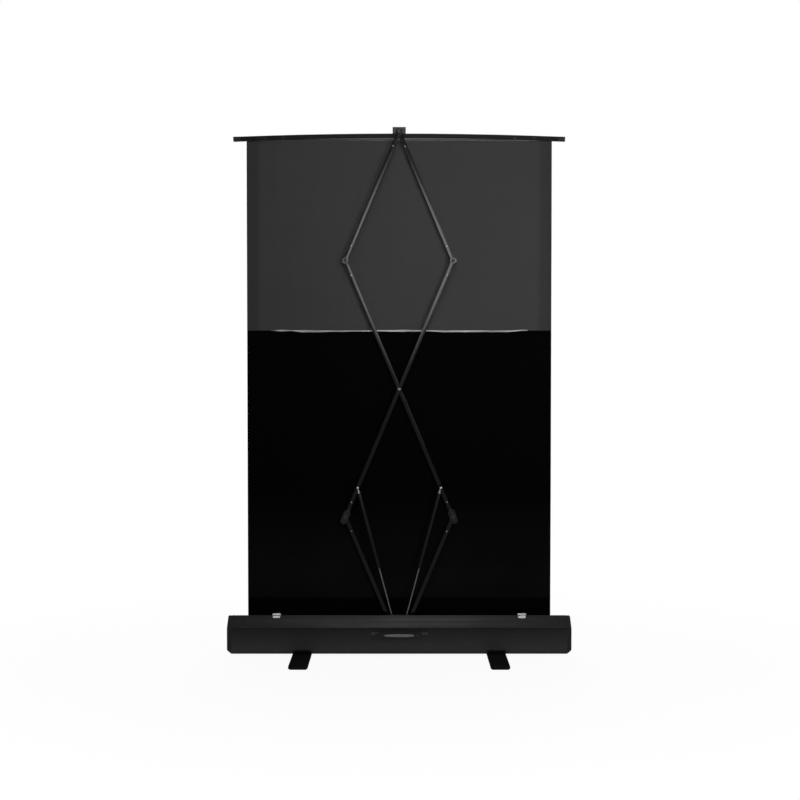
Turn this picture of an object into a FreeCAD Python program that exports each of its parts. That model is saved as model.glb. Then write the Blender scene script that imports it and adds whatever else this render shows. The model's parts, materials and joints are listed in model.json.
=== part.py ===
import FreeCAD, Part
import Sketcher
import math
import os
import re

# Portable floor pull-up projection screen, millimetres.
# X runs along the case, Y from the linkage side to the picture side, Z up.
# The origin is on the floor, under the middle of the case.

SIZES = {
    # sheet
    "fabric_margin": 12.5,
    "fabric_thick": 0.6,
    "fabric_plane": 13.0,
    "seam_height": 1338.0,
    "seam_strip_inset": 97.5,
    "seam_strip_height": 8.0,
    "seam_strip_thick": 0.4,
    "picture_border": 32.5,
    "picture_top_border": 56.4,
    "picture_lift": 55.0,
    "picture_coat": 0.2,
    "sheet_gap": 0.3,
    # linkage
    "arm_pitch": 572.0,
    "open_angle": 22.8,
    "base_height": 42.0,
    "tube_width": 16.0,
    "tube_depth": 8.0,
    "tube_wall": 1.2,
    "layer_middle": -2.25,
    "layer_gap": 0.5,
    "knuckle_radius": 15.0,
    "end_knuckle_radius": 12.0,
    "elbow_lobe_radius": 14.5,
    "elbow_lobe_offset": 16.5,
    "collar_length": 18.0,
    "tongue_length": 74.0,
    "tongue_clearance": 0.2,
    "rivet_offset": 65.0,
    "rivet_radius": 2.0,
    "rivet_head_radius": 3.5,
    "rivet_head_height": 1.0,
    "pin_radius": 4.0,
    "running_clearance": 0.05,
    "pin_head_radius": 7.0,
    "pin_head_height": 1.1,
    "pin_head_gap": 0.1,
    # gas struts
    "strut_plane": -19.5,
    "strut_pin_spread": 58.0,
    "strut_pin_height": 160.0,
    "strut_reach": 132.0,
    "strut_stud_radius": 3.0,
    "strut_stud_gap": 0.3,
    "strut_pin_radius": 3.5,
    "pin_flange_share": 1.5,
    "cylinder_radius": 7.0,
    "cylinder_bore_radius": 5.8,
    "cylinder_length": 320.0,
    "gland_length": 8.0,
    "rod_radius": 3.0,
    "rod_eye_radius": 8.0,
    "rod_eye_width": 8.0,
    "rod_seat_share": 0.8,
    "piston_length": 9.0,
    "piston_clearance": 0.05,
    "piston_travel_left": 14.0,
    "socket_radius": 8.0,
    "socket_back": 4.5,
    "socket_neck_radius": 4.0,
    "socket_neck_length": 24.0,
    "socket_nut_radius": 5.0,
    "socket_nut_height": 2.2,
    # case
    "case_length": 1404.0,
    "end_cap_thick": 18.0,
    "end_cap_edge": 4.0,
    "end_cap_toe_width": 17.0,
    "end_cap_toe_height": 20.0,
    "case_bottom": 17.0,
    "case_wall": 2.0,
    "case_top": 168.0,
    "rear_wall": 72.0,
    "front_wall": 75.0,
    "foot_chamfer_width": 12.0,
    "foot_chamfer_height": 18.0,
    "shoulder_bottom": 125.0,
    "slot_rear": 31.0,
    "slot_front": 22.0,
    "front_lip_drop": 20.0,
    "front_crown_width": 18.0,
    "front_crown_drop": 4.0,
    "crown_wall_share": 1.25,
    "front_slope_width": 22.0,
    "front_slope_drop": 18.0,
    "front_round_drop": 26.0,
    "screw_radius": 3.5,
    "screw_clearance": 0.15,
    "screw_inset": 14.0,
    "screw_sink": 0.6,
    # base bracket
    "bracket_plate": 2.5,
    "bracket_foot_width": 120.0,
    "front_upright_width": 44.0,
    "front_upright_gap": 1.5,
    "front_upright_above_pin": 16.0,
    "rear_upright_gap": 1.5,
    "rear_upright_foot_width": 70.0,
    "rear_upright_above_pin": 9.0,
    "rear_upright_edge": 12.0,
    "bracket_bolt_radius": 4.0,
    "bracket_bolt_height": 3.0,
    "bracket_bolt_spread": 100.0,
    "bracket_bolt_row": 22.0,
    # roller
    "roller_radius": 20.0,
    "roller_wall": 1.5,
    "roller_end_room": 34.0,
    "roll_radius": 22.3,
    "roller_height": 56.0,
    "plug_length": 30.0,
    "plug_flange": 4.0,
    "plug_clearance": 0.2,
    "journal_radius": 6.0,
    "journal_spare": 2.0,
    "roller_bracket_gap": 1.0,
    "roller_bracket_thick": 3.0,
    "roller_bracket_width": 36.0,
    "roller_bracket_above": 16.0,
    "shaft_radius": 5.0,
    "shaft_reach": 330.0,
    "shaft_head_share": 1.5,
    "spring_radius": 11.0,
    "spring_wall": 2.0,
    "spring_length": 280.0,
    "guide_radius": 3.0,
    "guide_height": 100.0,
    "guide_end_gap": 0.3,
    # lid
    "hinge_inset": 199.0,
    "hinge_width": 34.0,
    "hinge_radius": 6.5,
    "hinge_gap": 0.4,
    "hinge_pin_radius": 2.0,
    "hinge_leaf_thick": 2.4,
    "hinge_leaf_height": 20.0,
    "hinge_bridge": 3.0,
    "bridge_root_share": 0.7,
    "hinge_lift": 0.8,
    "lid_reach": 60.0,
    "lid_thick": 2.0,
    "lid_gap": 0.5,
    "lid_lip_height": 5.0,
    "lid_edge_gap": 1.0,
    "lid_flange_length": 18.0,
    "lid_flange_thick": 2.2,
    # handle
    "handle_height": 104.0,
    "handle_span": 230.0,
    "handle_mount_length": 33.0,
    "handle_mount_height": 15.0,
    "handle_mount_depth": 9.0,
    "handle_reach": 33.0,
    "handle_bar_radius": 5.0,
    "handle_arm_width": 9.0,
    "handle_grip_length": 118.0,
    "handle_grip_radius": 9.0,
    "handle_screw_radius": 3.0,
    "handle_screw_height": 1.2,
    "handle_screw_inset": 8.0,
    # feet
    "foot_inset": 304.0,
    "foot_length": 440.0,
    "foot_width": 77.0,
    "foot_thick": 12.0,
    "foot_corner": 7.0,
    "pad_thick": 3.0,
    "pad_length": 60.0,
    "pad_inset": 6.0,
    "foot_bolt_radius": 5.0,
    "foot_bolt_head_radius": 9.0,
    "foot_bolt_head_height": 4.0,
    "foot_collar_radius": 15.0,
    "foot_collar_gap": 0.3,
    "foot_recess_depth": 5.0,
    "foot_recess_clearance": 0.5,
    # top bar
    "bar_overhang": 25.5,
    "bar_bow": 13.6,
    "bar_rear": 8.0,
    "bar_depth": 12.0,
    "bar_height": 18.0,
    "bar_wall": 1.6,
    "bar_below_pin": 5.4,
    "plug_end_length": 29.0,
    "plug_end_grow": 0.5,
    "batten_overhang": 7.5,
    "batten_height": 12.0,
    "batten_thick": 4.0,
    "batten_below_bar": 9.1,
    "bar_screw_radius": 2.0,
    "bar_screw_head_radius": 3.6,
    "bar_screw_head_height": 0.7,
    "bar_screw_inset": 98.0,
    "bar_screw_pitch": 80.0,
    "bar_screw_rise": 8.0,
    "block_width": 54.0,
    "block_height": 26.4,
    "block_rear_gap": 0.5,
    "block_pin_depth": 9.0,
    # one overrun serves every cut
    "overrun": 1.0,
}

doc = FreeCAD.newDocument("projection_screen")
sheet = doc.addObject("Spreadsheet::Sheet", "Sizes")
for row, (alias, size) in enumerate(SIZES.items(), start=1):
    sheet.set("A%d" % row, alias)
    sheet.set("B%d" % row, repr(size))
    sheet.setAlias("B%d" % row, alias)
doc.recompute()

PARTS = []
AXIS_Y = FreeCAD.Vector(0, 1, 0)
AXIS_X = FreeCAD.Vector(1, 0, 0)


def bound(text):
    """The expression with each size's name pointing at its cell."""
    return re.sub(r"[a-z_]+", lambda m: ("Sizes." if m.group(0) in SIZES else "") + m.group(0), text)


def number(text):
    """The value of an expression, from the sheet."""
    result = sheet.evalExpression(bound(text))
    return float(getattr(result, "Value", result))


def new_body(label):
    body = doc.addObject("PartDesign::Body", label)
    body.Label = label
    body.AllowCompound = True
    PARTS.append(body)
    return body


def sketch(body, plane, loops, middle):
    """Closed outlines on one of the body's own planes, with every point and radius bound to the sheet.
    A loop is a list of (across, up) expressions or ("circle", across, up, radius)."""
    drawn = body.newObject("Sketcher::SketchObject", body.Label + "_outline")
    drawn.AttachmentSupport = [(f, "") for f in body.Origin.OriginFeatures if f.Role == plane]
    drawn.MapMode = "FlatFace"
    sign = "-" if plane == "XZ_Plane" else ""
    drawn.setExpression("AttachmentOffset.Base.z", bound("%s(%s)" % (sign, middle)))
    for loop in loops:
        if loop[0] == "circle":
            across, up, radius = loop[1:]
            centre = FreeCAD.Vector(number(across), number(up), 0)
            edge = drawn.addGeometry(Part.Circle(centre, FreeCAD.Vector(0, 0, 1), number(radius)), False)
            pin_point(drawn, edge, 3, across, up)
            mark = drawn.addConstraint(Sketcher.Constraint("Radius", edge, number(radius)))
            drawn.setExpression("Constraints[%d]" % mark, bound(radius))
            continue
        points = [FreeCAD.Vector(number(a), number(u), 0) for a, u in loop]
        count = len(points)
        edges = [drawn.addGeometry(Part.LineSegment(points[i], points[(i + 1) % count]), False)
                 for i in range(count)]
        for i in range(count):
            drawn.addConstraint(Sketcher.Constraint("Coincident", edges[i], 2, edges[(i + 1) % count], 1))
        for edge, (across, up) in zip(edges, loop):
            pin_point(drawn, edge, 1, across, up)
    return drawn


def pin_point(drawn, edge, end, across, up):
    for kind, text in (("DistanceX", across), ("DistanceY", up)):
        mark = drawn.addConstraint(Sketcher.Constraint(kind, -1, 1, edge, end, number(text)))
        drawn.setExpression("Constraints[%d]" % mark, bound(text))


def pad(body, plane, loops, start, stop):
    """Solid between two places along the plane's normal axis."""
    feature = body.newObject("PartDesign::Pad", body.Label + "_pad")
    feature.Profile = sketch(body, plane, loops, "((%s) + (%s))/2" % (start, stop))
    feature.Midplane = True
    feature.setExpression("Length", bound("(%s) - (%s)" % (stop, start)))
    doc.recompute()
    return feature


def cut(body, plane, loops, start, stop):
    """Takes the outlines out of the body between two places; a cut that misses is an error."""
    before = body.Shape.Volume
    feature = body.newObject("PartDesign::Pocket", body.Label + "_cut")
    feature.Profile = sketch(body, plane, loops, "((%s) + (%s))/2" % (start, stop))
    feature.Midplane = True
    feature.setExpression("Length", bound("(%s) - (%s)" % (stop, start)))
    doc.recompute()
    if body.Shape.Volume >= before:
        raise RuntimeError("cut misses " + body.Label)
    return feature


def rect(left, right, low, high):
    return [(left, low), (right, low), (right, high), (left, high)]


def disc(across, up, radius):
    return ("circle", across, up, radius)


def put(body, x="0", y="0", z="0", turn_y="0"):
    """Places a body; turn_y is the lean in degrees about Y, towards +X."""
    body.Placement = FreeCAD.Placement(FreeCAD.Vector(number(x), number(y), number(z)),
                                       FreeCAD.Rotation(AXIS_Y, number(turn_y)))
    for axis, text in (("x", x), ("y", y), ("z", z)):
        body.setExpression("Placement.Base." + axis, bound(text))
    return body


# places that several pieces share
RISE = "arm_pitch*cos(open_angle)"
SPREAD = "arm_pitch*sin(open_angle)"
TOP_PIN = "(base_height + 4*%s)" % RISE
NEAR = "(layer_middle - layer_gap/2 - tube_depth/2)"
FAR = "(layer_middle + layer_gap/2 + tube_depth/2)"
NEAR_BACK = "(layer_middle - layer_gap/2 - tube_depth)"
FAR_FRONT = "(layer_middle + layer_gap/2 + tube_depth)"
SHELL_END = "(case_length/2 - end_cap_thick)"
FLOOR = "(case_bottom + case_wall)"
FABRIC_BACK = "(fabric_plane - fabric_thick/2)"
FABRIC_FRONT = "(fabric_plane + fabric_thick/2)"
ROLLER_Y = "(%s + sheet_gap + roll_radius)" % FABRIC_FRONT
HOLE = "(pin_radius + running_clearance)"
JOURNAL_END = "(%s - roller_end_room)" % SHELL_END
ROLLER_BRACKET_OUT = "(%s - journal_spare)" % JOURNAL_END
ROLLER_BRACKET = "(%s - roller_bracket_thick)" % ROLLER_BRACKET_OUT
PLUG_END = "(%s - roller_bracket_gap)" % ROLLER_BRACKET
ROLLER_END = "(%s - plug_flange)" % PLUG_END
FABRIC_EDGE = "(%s - fabric_margin)" % ROLLER_END
BAR_END = "(%s + bar_overhang)" % FABRIC_EDGE
HINGE_X = "(case_length/2 - hinge_inset)"
FOOT_X = "(case_length/2 - foot_inset)"

# Case: two long shells that meet under the slot, closed by an end cap at each end.

rear = new_body("rear_shell")
pad(rear, "YZ_Plane", [[
    ("0", "case_bottom"),
    ("0", FLOOR),
    ("-rear_wall + foot_chamfer_width + case_wall/2", FLOOR),
    ("-rear_wall + case_wall", "case_bottom + foot_chamfer_height + case_wall/2"),
    ("-rear_wall + case_wall", "shoulder_bottom - case_wall/2"),
    ("-slot_rear", "case_top - 2*case_wall"),
    ("-slot_rear", "case_top"),
    ("-slot_rear - case_wall", "case_top"),
    ("-rear_wall", "shoulder_bottom"),
    ("-rear_wall", "case_bottom + foot_chamfer_height"),
    ("-rear_wall + foot_chamfer_width", "case_bottom"),
]], "-%s" % SHELL_END, SHELL_END)

front = new_body("front_shell")
FRONT_LIP = "(case_top - front_lip_drop)"
CROWN = ("slot_front + front_crown_width", FRONT_LIP + " - front_crown_drop")
SLOPE = (CROWN[0] + " + front_slope_width", CROWN[1] + " - front_slope_drop")
ROUND = ("front_wall", SLOPE[1] + " - front_round_drop")
pad(front, "YZ_Plane", [[
    ("0", "case_bottom"),
    ("front_wall - foot_chamfer_width", "case_bottom"),
    ("front_wall", "case_bottom + foot_chamfer_height"),
    ROUND,
    SLOPE,
    CROWN,
    ("slot_front", FRONT_LIP),
    ("slot_front", FRONT_LIP + " - 3*case_wall"),
    ("slot_front + case_wall", FRONT_LIP + " - 3*case_wall"),
    ("slot_front + case_wall", FRONT_LIP + " - case_wall - front_crown_drop/front_crown_width*case_wall"),
    (CROWN[0], CROWN[1] + " - case_wall*crown_wall_share"),
    (SLOPE[0] + " - case_wall", SLOPE[1] + " - case_wall"),
    ("front_wall - case_wall", ROUND[1] + " - case_wall/2"),
    ("front_wall - case_wall", "case_bottom + foot_chamfer_height + case_wall/2"),
    ("front_wall - foot_chamfer_width - case_wall/2", FLOOR),
    ("0", FLOOR),
]], "-%s" % SHELL_END, SHELL_END)

CAP_OUTLINE = [
    ("-rear_wall + foot_chamfer_width", "case_bottom"),
    ("front_wall - foot_chamfer_width", "case_bottom"),
    ("front_wall", "case_bottom + foot_chamfer_height"),
    ROUND,
    SLOPE,
    CROWN,
    ("slot_front", FRONT_LIP),
    ("-slot_rear - case_wall", "case_top"),
    ("-rear_wall", "shoulder_bottom"),
    ("-rear_wall", "case_bottom + foot_chamfer_height"),
]
SCREW_PLACES = [
    ("-rear_wall + screw_inset", "case_bottom + foot_chamfer_height + screw_inset"),
    ("front_wall - screw_inset", "case_bottom + foot_chamfer_height + screw_inset"),
    ("-rear_wall + screw_inset", "shoulder_bottom - screw_inset"),
    ("front_wall - screw_inset", ROUND[1] + " - screw_inset"),
]
SCREW_HOLE = "(screw_radius + screw_clearance)"
for side, label in (("-", "left_end_cap"), ("", "right_end_cap")):
    cap = new_body(label)
    ends = (SHELL_END, "case_length/2") if side == "" else ("-case_length/2", "-%s" % SHELL_END)
    block = pad(cap, "YZ_Plane", [CAP_OUTLINE], *ends)
    outer = max(range(len(block.Shape.Faces)), key=lambda i: abs(block.Shape.Faces[i].CenterOfMass.x))
    edge = cap.newObject("PartDesign::Chamfer", label + "_edge")
    edge.Base = (block, ["Face%d" % (outer + 1)])
    edge.setExpression("Size", bound("end_cap_edge"))
    doc.recompute()
    cut(cap, "XZ_Plane", [[
        (side + "(case_length/2 - end_cap_toe_width)", "case_bottom - overrun"),
        (side + "(case_length/2 + overrun)", "case_bottom - overrun"),
        (side + "(case_length/2 + overrun)", "case_bottom + end_cap_toe_height"),
    ]], "-rear_wall - overrun", "front_wall + overrun")
    cut(cap, "YZ_Plane", [disc(y, z, SCREW_HOLE) for y, z in SCREW_PLACES],
        ends[0] + " - overrun", ends[1] + " + overrun")

screws = new_body("case_screws")
for ends in ((SHELL_END, "case_length/2 - screw_sink"), ("-case_length/2 + screw_sink", "-%s" % SHELL_END)):
    pad(screws, "YZ_Plane", [disc(y, z, "screw_radius") for y, z in SCREW_PLACES], *ends)

# Base bracket: a foot on the case floor and two uprights that hold the pins.

FRONT_UPRIGHT = "(%s + front_upright_gap)" % FAR_FRONT
REAR_UPRIGHT = "(strut_plane - cylinder_radius - rear_upright_gap)"
BRACKET_FLOOR = "(%s + bracket_plate)" % FLOOR
STRUT_PIN_HOLE = "(strut_pin_radius + running_clearance)"
bracket = new_body("base_bracket")
pad(bracket, "XY_Plane",
    [rect("-bracket_foot_width/2", "bracket_foot_width/2",
          REAR_UPRIGHT + " - bracket_plate", FRONT_UPRIGHT + " + bracket_plate")], FLOOR, BRACKET_FLOOR)
pad(bracket, "XZ_Plane", [
    rect("-front_upright_width/2", "front_upright_width/2", FLOOR, "base_height + front_upright_above_pin"),
    disc("0", "base_height", HOLE),
], FRONT_UPRIGHT, FRONT_UPRIGHT + " + bracket_plate")
UPRIGHT_TOP = "strut_pin_height + rear_upright_above_pin"
pad(bracket, "XZ_Plane", [
    [("-rear_upright_foot_width/2", FLOOR), ("rear_upright_foot_width/2", FLOOR),
     ("strut_pin_spread/2 + rear_upright_edge", UPRIGHT_TOP),
     ("-strut_pin_spread/2 - rear_upright_edge", UPRIGHT_TOP)],
    disc("0", "base_height", HOLE),
    disc("-strut_pin_spread/2", "strut_pin_height", STRUT_PIN_HOLE),
    disc("strut_pin_spread/2", "strut_pin_height", STRUT_PIN_HOLE),
], REAR_UPRIGHT + " - bracket_plate", REAR_UPRIGHT)

base_pin = new_body("base_pin")
BASE_PIN_FRONT = "(%s + bracket_plate + pin_head_gap)" % FRONT_UPRIGHT
BASE_PIN_REAR = "(%s - bracket_plate - pin_head_gap)" % REAR_UPRIGHT
pad(base_pin, "XZ_Plane", [disc("0", "base_height", "pin_radius")], BASE_PIN_REAR, BASE_PIN_FRONT)
pad(base_pin, "XZ_Plane", [disc("0", "base_height", "pin_head_radius")],
    BASE_PIN_FRONT, BASE_PIN_FRONT + " + pin_head_height")
pad(base_pin, "XZ_Plane", [disc("0", "base_height", "pin_head_radius")],
    BASE_PIN_REAR + " - pin_head_height", BASE_PIN_REAR)

strut_pins = new_body("strut_pins")
EYE_FRONT = "(strut_plane + rod_eye_width/2 + pin_head_gap)"
for side in ("-", ""):
    strut_x = side + "strut_pin_spread/2"
    pad(strut_pins, "XZ_Plane", [disc(strut_x, "strut_pin_height", "strut_pin_radius")],
        REAR_UPRIGHT + " - bracket_plate", EYE_FRONT)
    pad(strut_pins, "XZ_Plane", [disc(strut_x, "strut_pin_height", "strut_pin_radius*pin_flange_share")],
        EYE_FRONT, EYE_FRONT + " + pin_head_height")

bolts = new_body("bracket_bolts")
for side in ("-", ""):
    bolt_x = side + "bracket_bolt_spread/2"
    pad(bolts, "XY_Plane", [disc(bolt_x, "layer_middle - bracket_bolt_row/2", "bracket_bolt_radius"),
                            disc(bolt_x, "layer_middle + bracket_bolt_row/2", "bracket_bolt_radius")],
        BRACKET_FLOOR, BRACKET_FLOOR + " + bracket_bolt_height")

# Roller: a tube with plugs, on brackets at both ends, with a torsion spring round a fixed shaft.

JOURNAL_HOLE = "(journal_radius + running_clearance)"
SHAFT_HOLE = "(shaft_radius + running_clearance)"
brackets = new_body("roller_brackets")
BRACKET_FACE = rect("%s - roller_bracket_width/2" % ROLLER_Y, "%s + roller_bracket_width/2" % ROLLER_Y,
                    FLOOR, "roller_height + roller_bracket_above")
pad(brackets, "YZ_Plane", [BRACKET_FACE, disc(ROLLER_Y, "roller_height", JOURNAL_HOLE)],
    "-" + ROLLER_BRACKET_OUT, "-" + ROLLER_BRACKET)
pad(brackets, "YZ_Plane", [BRACKET_FACE, disc(ROLLER_Y, "roller_height", SHAFT_HOLE)],
    ROLLER_BRACKET, ROLLER_BRACKET_OUT)

shaft = new_body("spring_shaft")
pad(shaft, "YZ_Plane", [disc(ROLLER_Y, "roller_height", "shaft_radius")],
    ROLLER_BRACKET_OUT + " - shaft_reach", JOURNAL_END)
pad(shaft, "YZ_Plane", [disc(ROLLER_Y, "roller_height", "shaft_radius*shaft_head_share")],
    ROLLER_BRACKET_OUT, JOURNAL_END)

tube = new_body("roller_tube")
ROLLER_BORE = "(roller_radius - roller_wall)"
pad(tube, "YZ_Plane", [disc(ROLLER_Y, "roller_height", "roller_radius"),
                       disc(ROLLER_Y, "roller_height", ROLLER_BORE)], "-" + ROLLER_END, ROLLER_END)

plugs = new_body("roller_plugs")
PLUG_RADIUS = "(%s - plug_clearance)" % ROLLER_BORE
pad(plugs, "YZ_Plane", [disc(ROLLER_Y, "roller_height", PLUG_RADIUS)],
    "-" + ROLLER_END, "-%s + plug_length" % ROLLER_END)
pad(plugs, "YZ_Plane", [disc(ROLLER_Y, "roller_height", "roller_radius")], "-" + PLUG_END, "-" + ROLLER_END)
pad(plugs, "YZ_Plane", [disc(ROLLER_Y, "roller_height", "journal_radius")], "-" + JOURNAL_END, "-" + PLUG_END)
SHAFT_BORE = disc(ROLLER_Y, "roller_height", SHAFT_HOLE)
pad(plugs, "YZ_Plane", [disc(ROLLER_Y, "roller_height", PLUG_RADIUS), SHAFT_BORE],
    ROLLER_END + " - plug_length", ROLLER_END)
pad(plugs, "YZ_Plane", [disc(ROLLER_Y, "roller_height", "roller_radius"), SHAFT_BORE], ROLLER_END, PLUG_END)

spring = new_body("roller_spring")
SPRING_END = "(%s - plug_length)" % ROLLER_END
pad(spring, "YZ_Plane", [disc(ROLLER_Y, "roller_height", "spring_radius"),
                         disc(ROLLER_Y, "roller_height", "spring_radius - spring_wall")],
    SPRING_END + " - spring_length", SPRING_END)

roll = new_body("fabric_roll")
pad(roll, "YZ_Plane", [disc(ROLLER_Y, "roller_height", "roll_radius"),
                       disc(ROLLER_Y, "roller_height", "roller_radius + plug_clearance")],
    "-" + FABRIC_EDGE, FABRIC_EDGE)

guide = new_body("fabric_guide_rod")
pad(guide, "YZ_Plane", [disc("%s + sheet_gap + guide_radius" % FABRIC_FRONT, "guide_height", "guide_radius")],
    "-%s + guide_end_gap" % SHELL_END, "%s - guide_end_gap" % SHELL_END)

# Lid: hinged along the rear lip, drawn flat about its hinge line and then leant onto the shoulder.

SHOULDER_WIDTH = "(rear_wall - slot_rear - case_wall)"
SHOULDER_HEIGHT = "(case_top - shoulder_bottom)"
SHOULDER_SLANT = "sqrt(%s^2 + %s^2)" % (SHOULDER_WIDTH, SHOULDER_HEIGHT)
HINGE_Y = "(-slot_rear - case_wall - (hinge_radius + hinge_lift)*%s/%s)" % (SHOULDER_HEIGHT, SHOULDER_SLANT)
HINGE_Z = "(case_top + (hinge_radius + hinge_lift)*%s/%s)" % (SHOULDER_WIDTH, SHOULDER_SLANT)
LID_BACK = "(-hinge_radius - hinge_lift + lid_gap)"
LID_FACE = "(%s + lid_thick)" % LID_BACK
lean = math.degrees(math.atan2(number(SHOULDER_HEIGHT), number(SHOULDER_WIDTH)))


def put_lid(body):
    put(body, y=HINGE_Y, z=HINGE_Z)
    body.Placement = FreeCAD.Placement(body.Placement.Base, FreeCAD.Rotation(AXIS_X, lean))
    return body


lid = new_body("lid_panel")
LID_END = "(%s - lid_edge_gap)" % SHELL_END
pad(lid, "YZ_Plane", [[
    ("-hinge_radius - lid_gap", LID_BACK),
    ("-hinge_radius - lid_gap", LID_FACE),
    ("-lid_reach + lid_thick", LID_FACE),
    ("-lid_reach + lid_thick", LID_BACK + " + lid_lip_height"),
    ("-lid_reach", LID_BACK + " + lid_lip_height"),
    ("-lid_reach", LID_BACK),
]], "-" + LID_END, LID_END)
put_lid(lid)

knuckles = new_body("lid_knuckles")
leaves = new_body("hinge_leaves")
FLANGE_FACE = "(%s + lid_flange_thick)" % LID_FACE
LEAF_FRONT = "(-slot_rear + hinge_leaf_thick)"
BRIDGE_ROOT = HINGE_Y + " + hinge_radius*bridge_root_share"
for side in ("-", ""):
    middle = side + HINGE_X
    inner = (middle + " - hinge_width/4", middle + " + hinge_width/4")
    pad(knuckles, "YZ_Plane", [disc("0", "0", "hinge_radius")], *inner)
    pad(knuckles, "YZ_Plane", [rect("-lid_flange_length", "-hinge_radius/2", LID_FACE, FLANGE_FACE)], *inner)
    pad(knuckles, "YZ_Plane", [disc("0", "0", "hinge_pin_radius")],
        middle + " - hinge_width/2", middle + " + hinge_width/2")
    for ends in ((middle + " - hinge_width/2", inner[0] + " - hinge_gap"),
                 (inner[1] + " + hinge_gap", middle + " + hinge_width/2")):
        pad(leaves, "YZ_Plane", [disc(HINGE_Y, HINGE_Z, "hinge_radius"),
                                 disc(HINGE_Y, HINGE_Z, "hinge_pin_radius + running_clearance")], *ends)
        pad(leaves, "YZ_Plane", [[
            (BRIDGE_ROOT, HINGE_Z + " - hinge_bridge/2"),
            ("-slot_rear", HINGE_Z + " - hinge_bridge/2"),
            ("-slot_rear", "case_top - hinge_leaf_height"),
            (LEAF_FRONT, "case_top - hinge_leaf_height"),
            (LEAF_FRONT, HINGE_Z + " + hinge_bridge/2"),
            (BRIDGE_ROOT, HINGE_Z + " + hinge_bridge/2"),
        ]], *ends)
put_lid(knuckles)

# Handle: a bow on two mounts on the rear wall.

MOUNT_BACK = "(-rear_wall - handle_mount_depth)"
GRIP_Y = "(-rear_wall - handle_reach)"
MOUNT_IN = "(handle_span/2 - handle_mount_length)"
mounts = new_body("handle_mounts")
for ends in (("-handle_span/2", "-" + MOUNT_IN), (MOUNT_IN, "handle_span/2")):
    pad(mounts, "YZ_Plane", [[
        ("-rear_wall", "handle_height - handle_mount_height/2"),
        ("-rear_wall", "handle_height + handle_mount_height/2"),
        (MOUNT_BACK, "handle_height + handle_mount_height/3"),
        (MOUNT_BACK, "handle_height - handle_mount_height/3"),
    ]], *ends)

grip = new_body("handle_grip")
pad(grip, "YZ_Plane", [disc(GRIP_Y, "handle_height", "handle_bar_radius")],
    "-" + MOUNT_IN + " - handle_arm_width", MOUNT_IN + " + handle_arm_width")
pad(grip, "YZ_Plane", [disc(GRIP_Y, "handle_height", "handle_grip_radius")],
    "-handle_grip_length/2", "handle_grip_length/2")
ARM_OUT = "(%s + handle_arm_width)" % MOUNT_IN
for ends in (("-" + ARM_OUT, "-" + MOUNT_IN), (MOUNT_IN, ARM_OUT)):
    pad(grip, "YZ_Plane", [rect(GRIP_Y, MOUNT_BACK, "handle_height - handle_bar_radius",
                                "handle_height + handle_bar_radius")], *ends)

handle_screws = new_body("handle_screws")
for side in ("-", ""):
    for inset in ("handle_screw_inset", "handle_mount_length/2"):
        pad(handle_screws, "XZ_Plane",
            [disc(side + "(handle_span/2 - %s)" % inset, "handle_height", "handle_screw_radius")],
            MOUNT_BACK + " - handle_screw_height", MOUNT_BACK)

# Feet: flat bars on pads, each on a shouldered bolt through the case floor.

FOOT_TOP = "(pad_thick + foot_thick)"
bolt_set = new_body("foot_bolts")
for side, name in (("-", "left"), ("", "right")):
    middle = side + FOOT_X
    foot = new_body(name + "_foot")
    pad(foot, "XY_Plane", [[
        (middle + " - foot_width/2 + foot_corner", "-foot_length/2"),
        (middle + " + foot_width/2 - foot_corner", "-foot_length/2"),
        (middle + " + foot_width/2", "-foot_length/2 + foot_corner"),
        (middle + " + foot_width/2", "foot_length/2 - foot_corner"),
        (middle + " + foot_width/2 - foot_corner", "foot_length/2"),
        (middle + " - foot_width/2 + foot_corner", "foot_length/2"),
        (middle + " - foot_width/2", "foot_length/2 - foot_corner"),
        (middle + " - foot_width/2", "-foot_length/2 + foot_corner"),
    ], disc(middle, "0", "foot_bolt_radius + running_clearance")], "pad_thick", FOOT_TOP)
    cut(foot, "XY_Plane", [disc(middle, "0", "foot_bolt_head_radius + foot_recess_clearance")],
        "pad_thick - overrun", "pad_thick + foot_recess_depth")
    pads = new_body(name + "_foot_pads")
    for end in ("-", ""):
        far_end = end + "(foot_length/2 - pad_inset)"
        near_end = end + "(foot_length/2 - pad_inset - pad_length)"
        low, high = (far_end, near_end) if end else (near_end, far_end)
        pad(pads, "XY_Plane", [rect(middle + " - foot_width/2 + pad_inset",
                                    middle + " + foot_width/2 - pad_inset", low, high)], "0", "pad_thick")
    pad(bolt_set, "XY_Plane", [disc(middle, "0", "foot_bolt_radius")],
        "pad_thick + foot_recess_clearance", FLOOR)
    pad(bolt_set, "XY_Plane", [disc(middle, "0", "foot_bolt_head_radius")],
        "pad_thick + foot_recess_clearance", "pad_thick + foot_recess_depth - foot_recess_clearance/2")
    pad(bolt_set, "XY_Plane", [disc(middle, "0", "foot_collar_radius")],
        FOOT_TOP + " + foot_collar_gap", "case_bottom")
    pad(bolt_set, "XY_Plane", [disc(middle, "0", "foot_bolt_head_radius")],
        FLOOR, FLOOR + " + foot_bolt_head_height")
    for shell in (rear, front):
        cut(shell, "XY_Plane", [disc(middle, "0", "foot_bolt_radius + running_clearance")],
            "case_bottom - overrun", FLOOR + " + overrun")

# Arms: a tube with a knuckle in each end, drawn upright from its lower pin and then leant.


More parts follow.
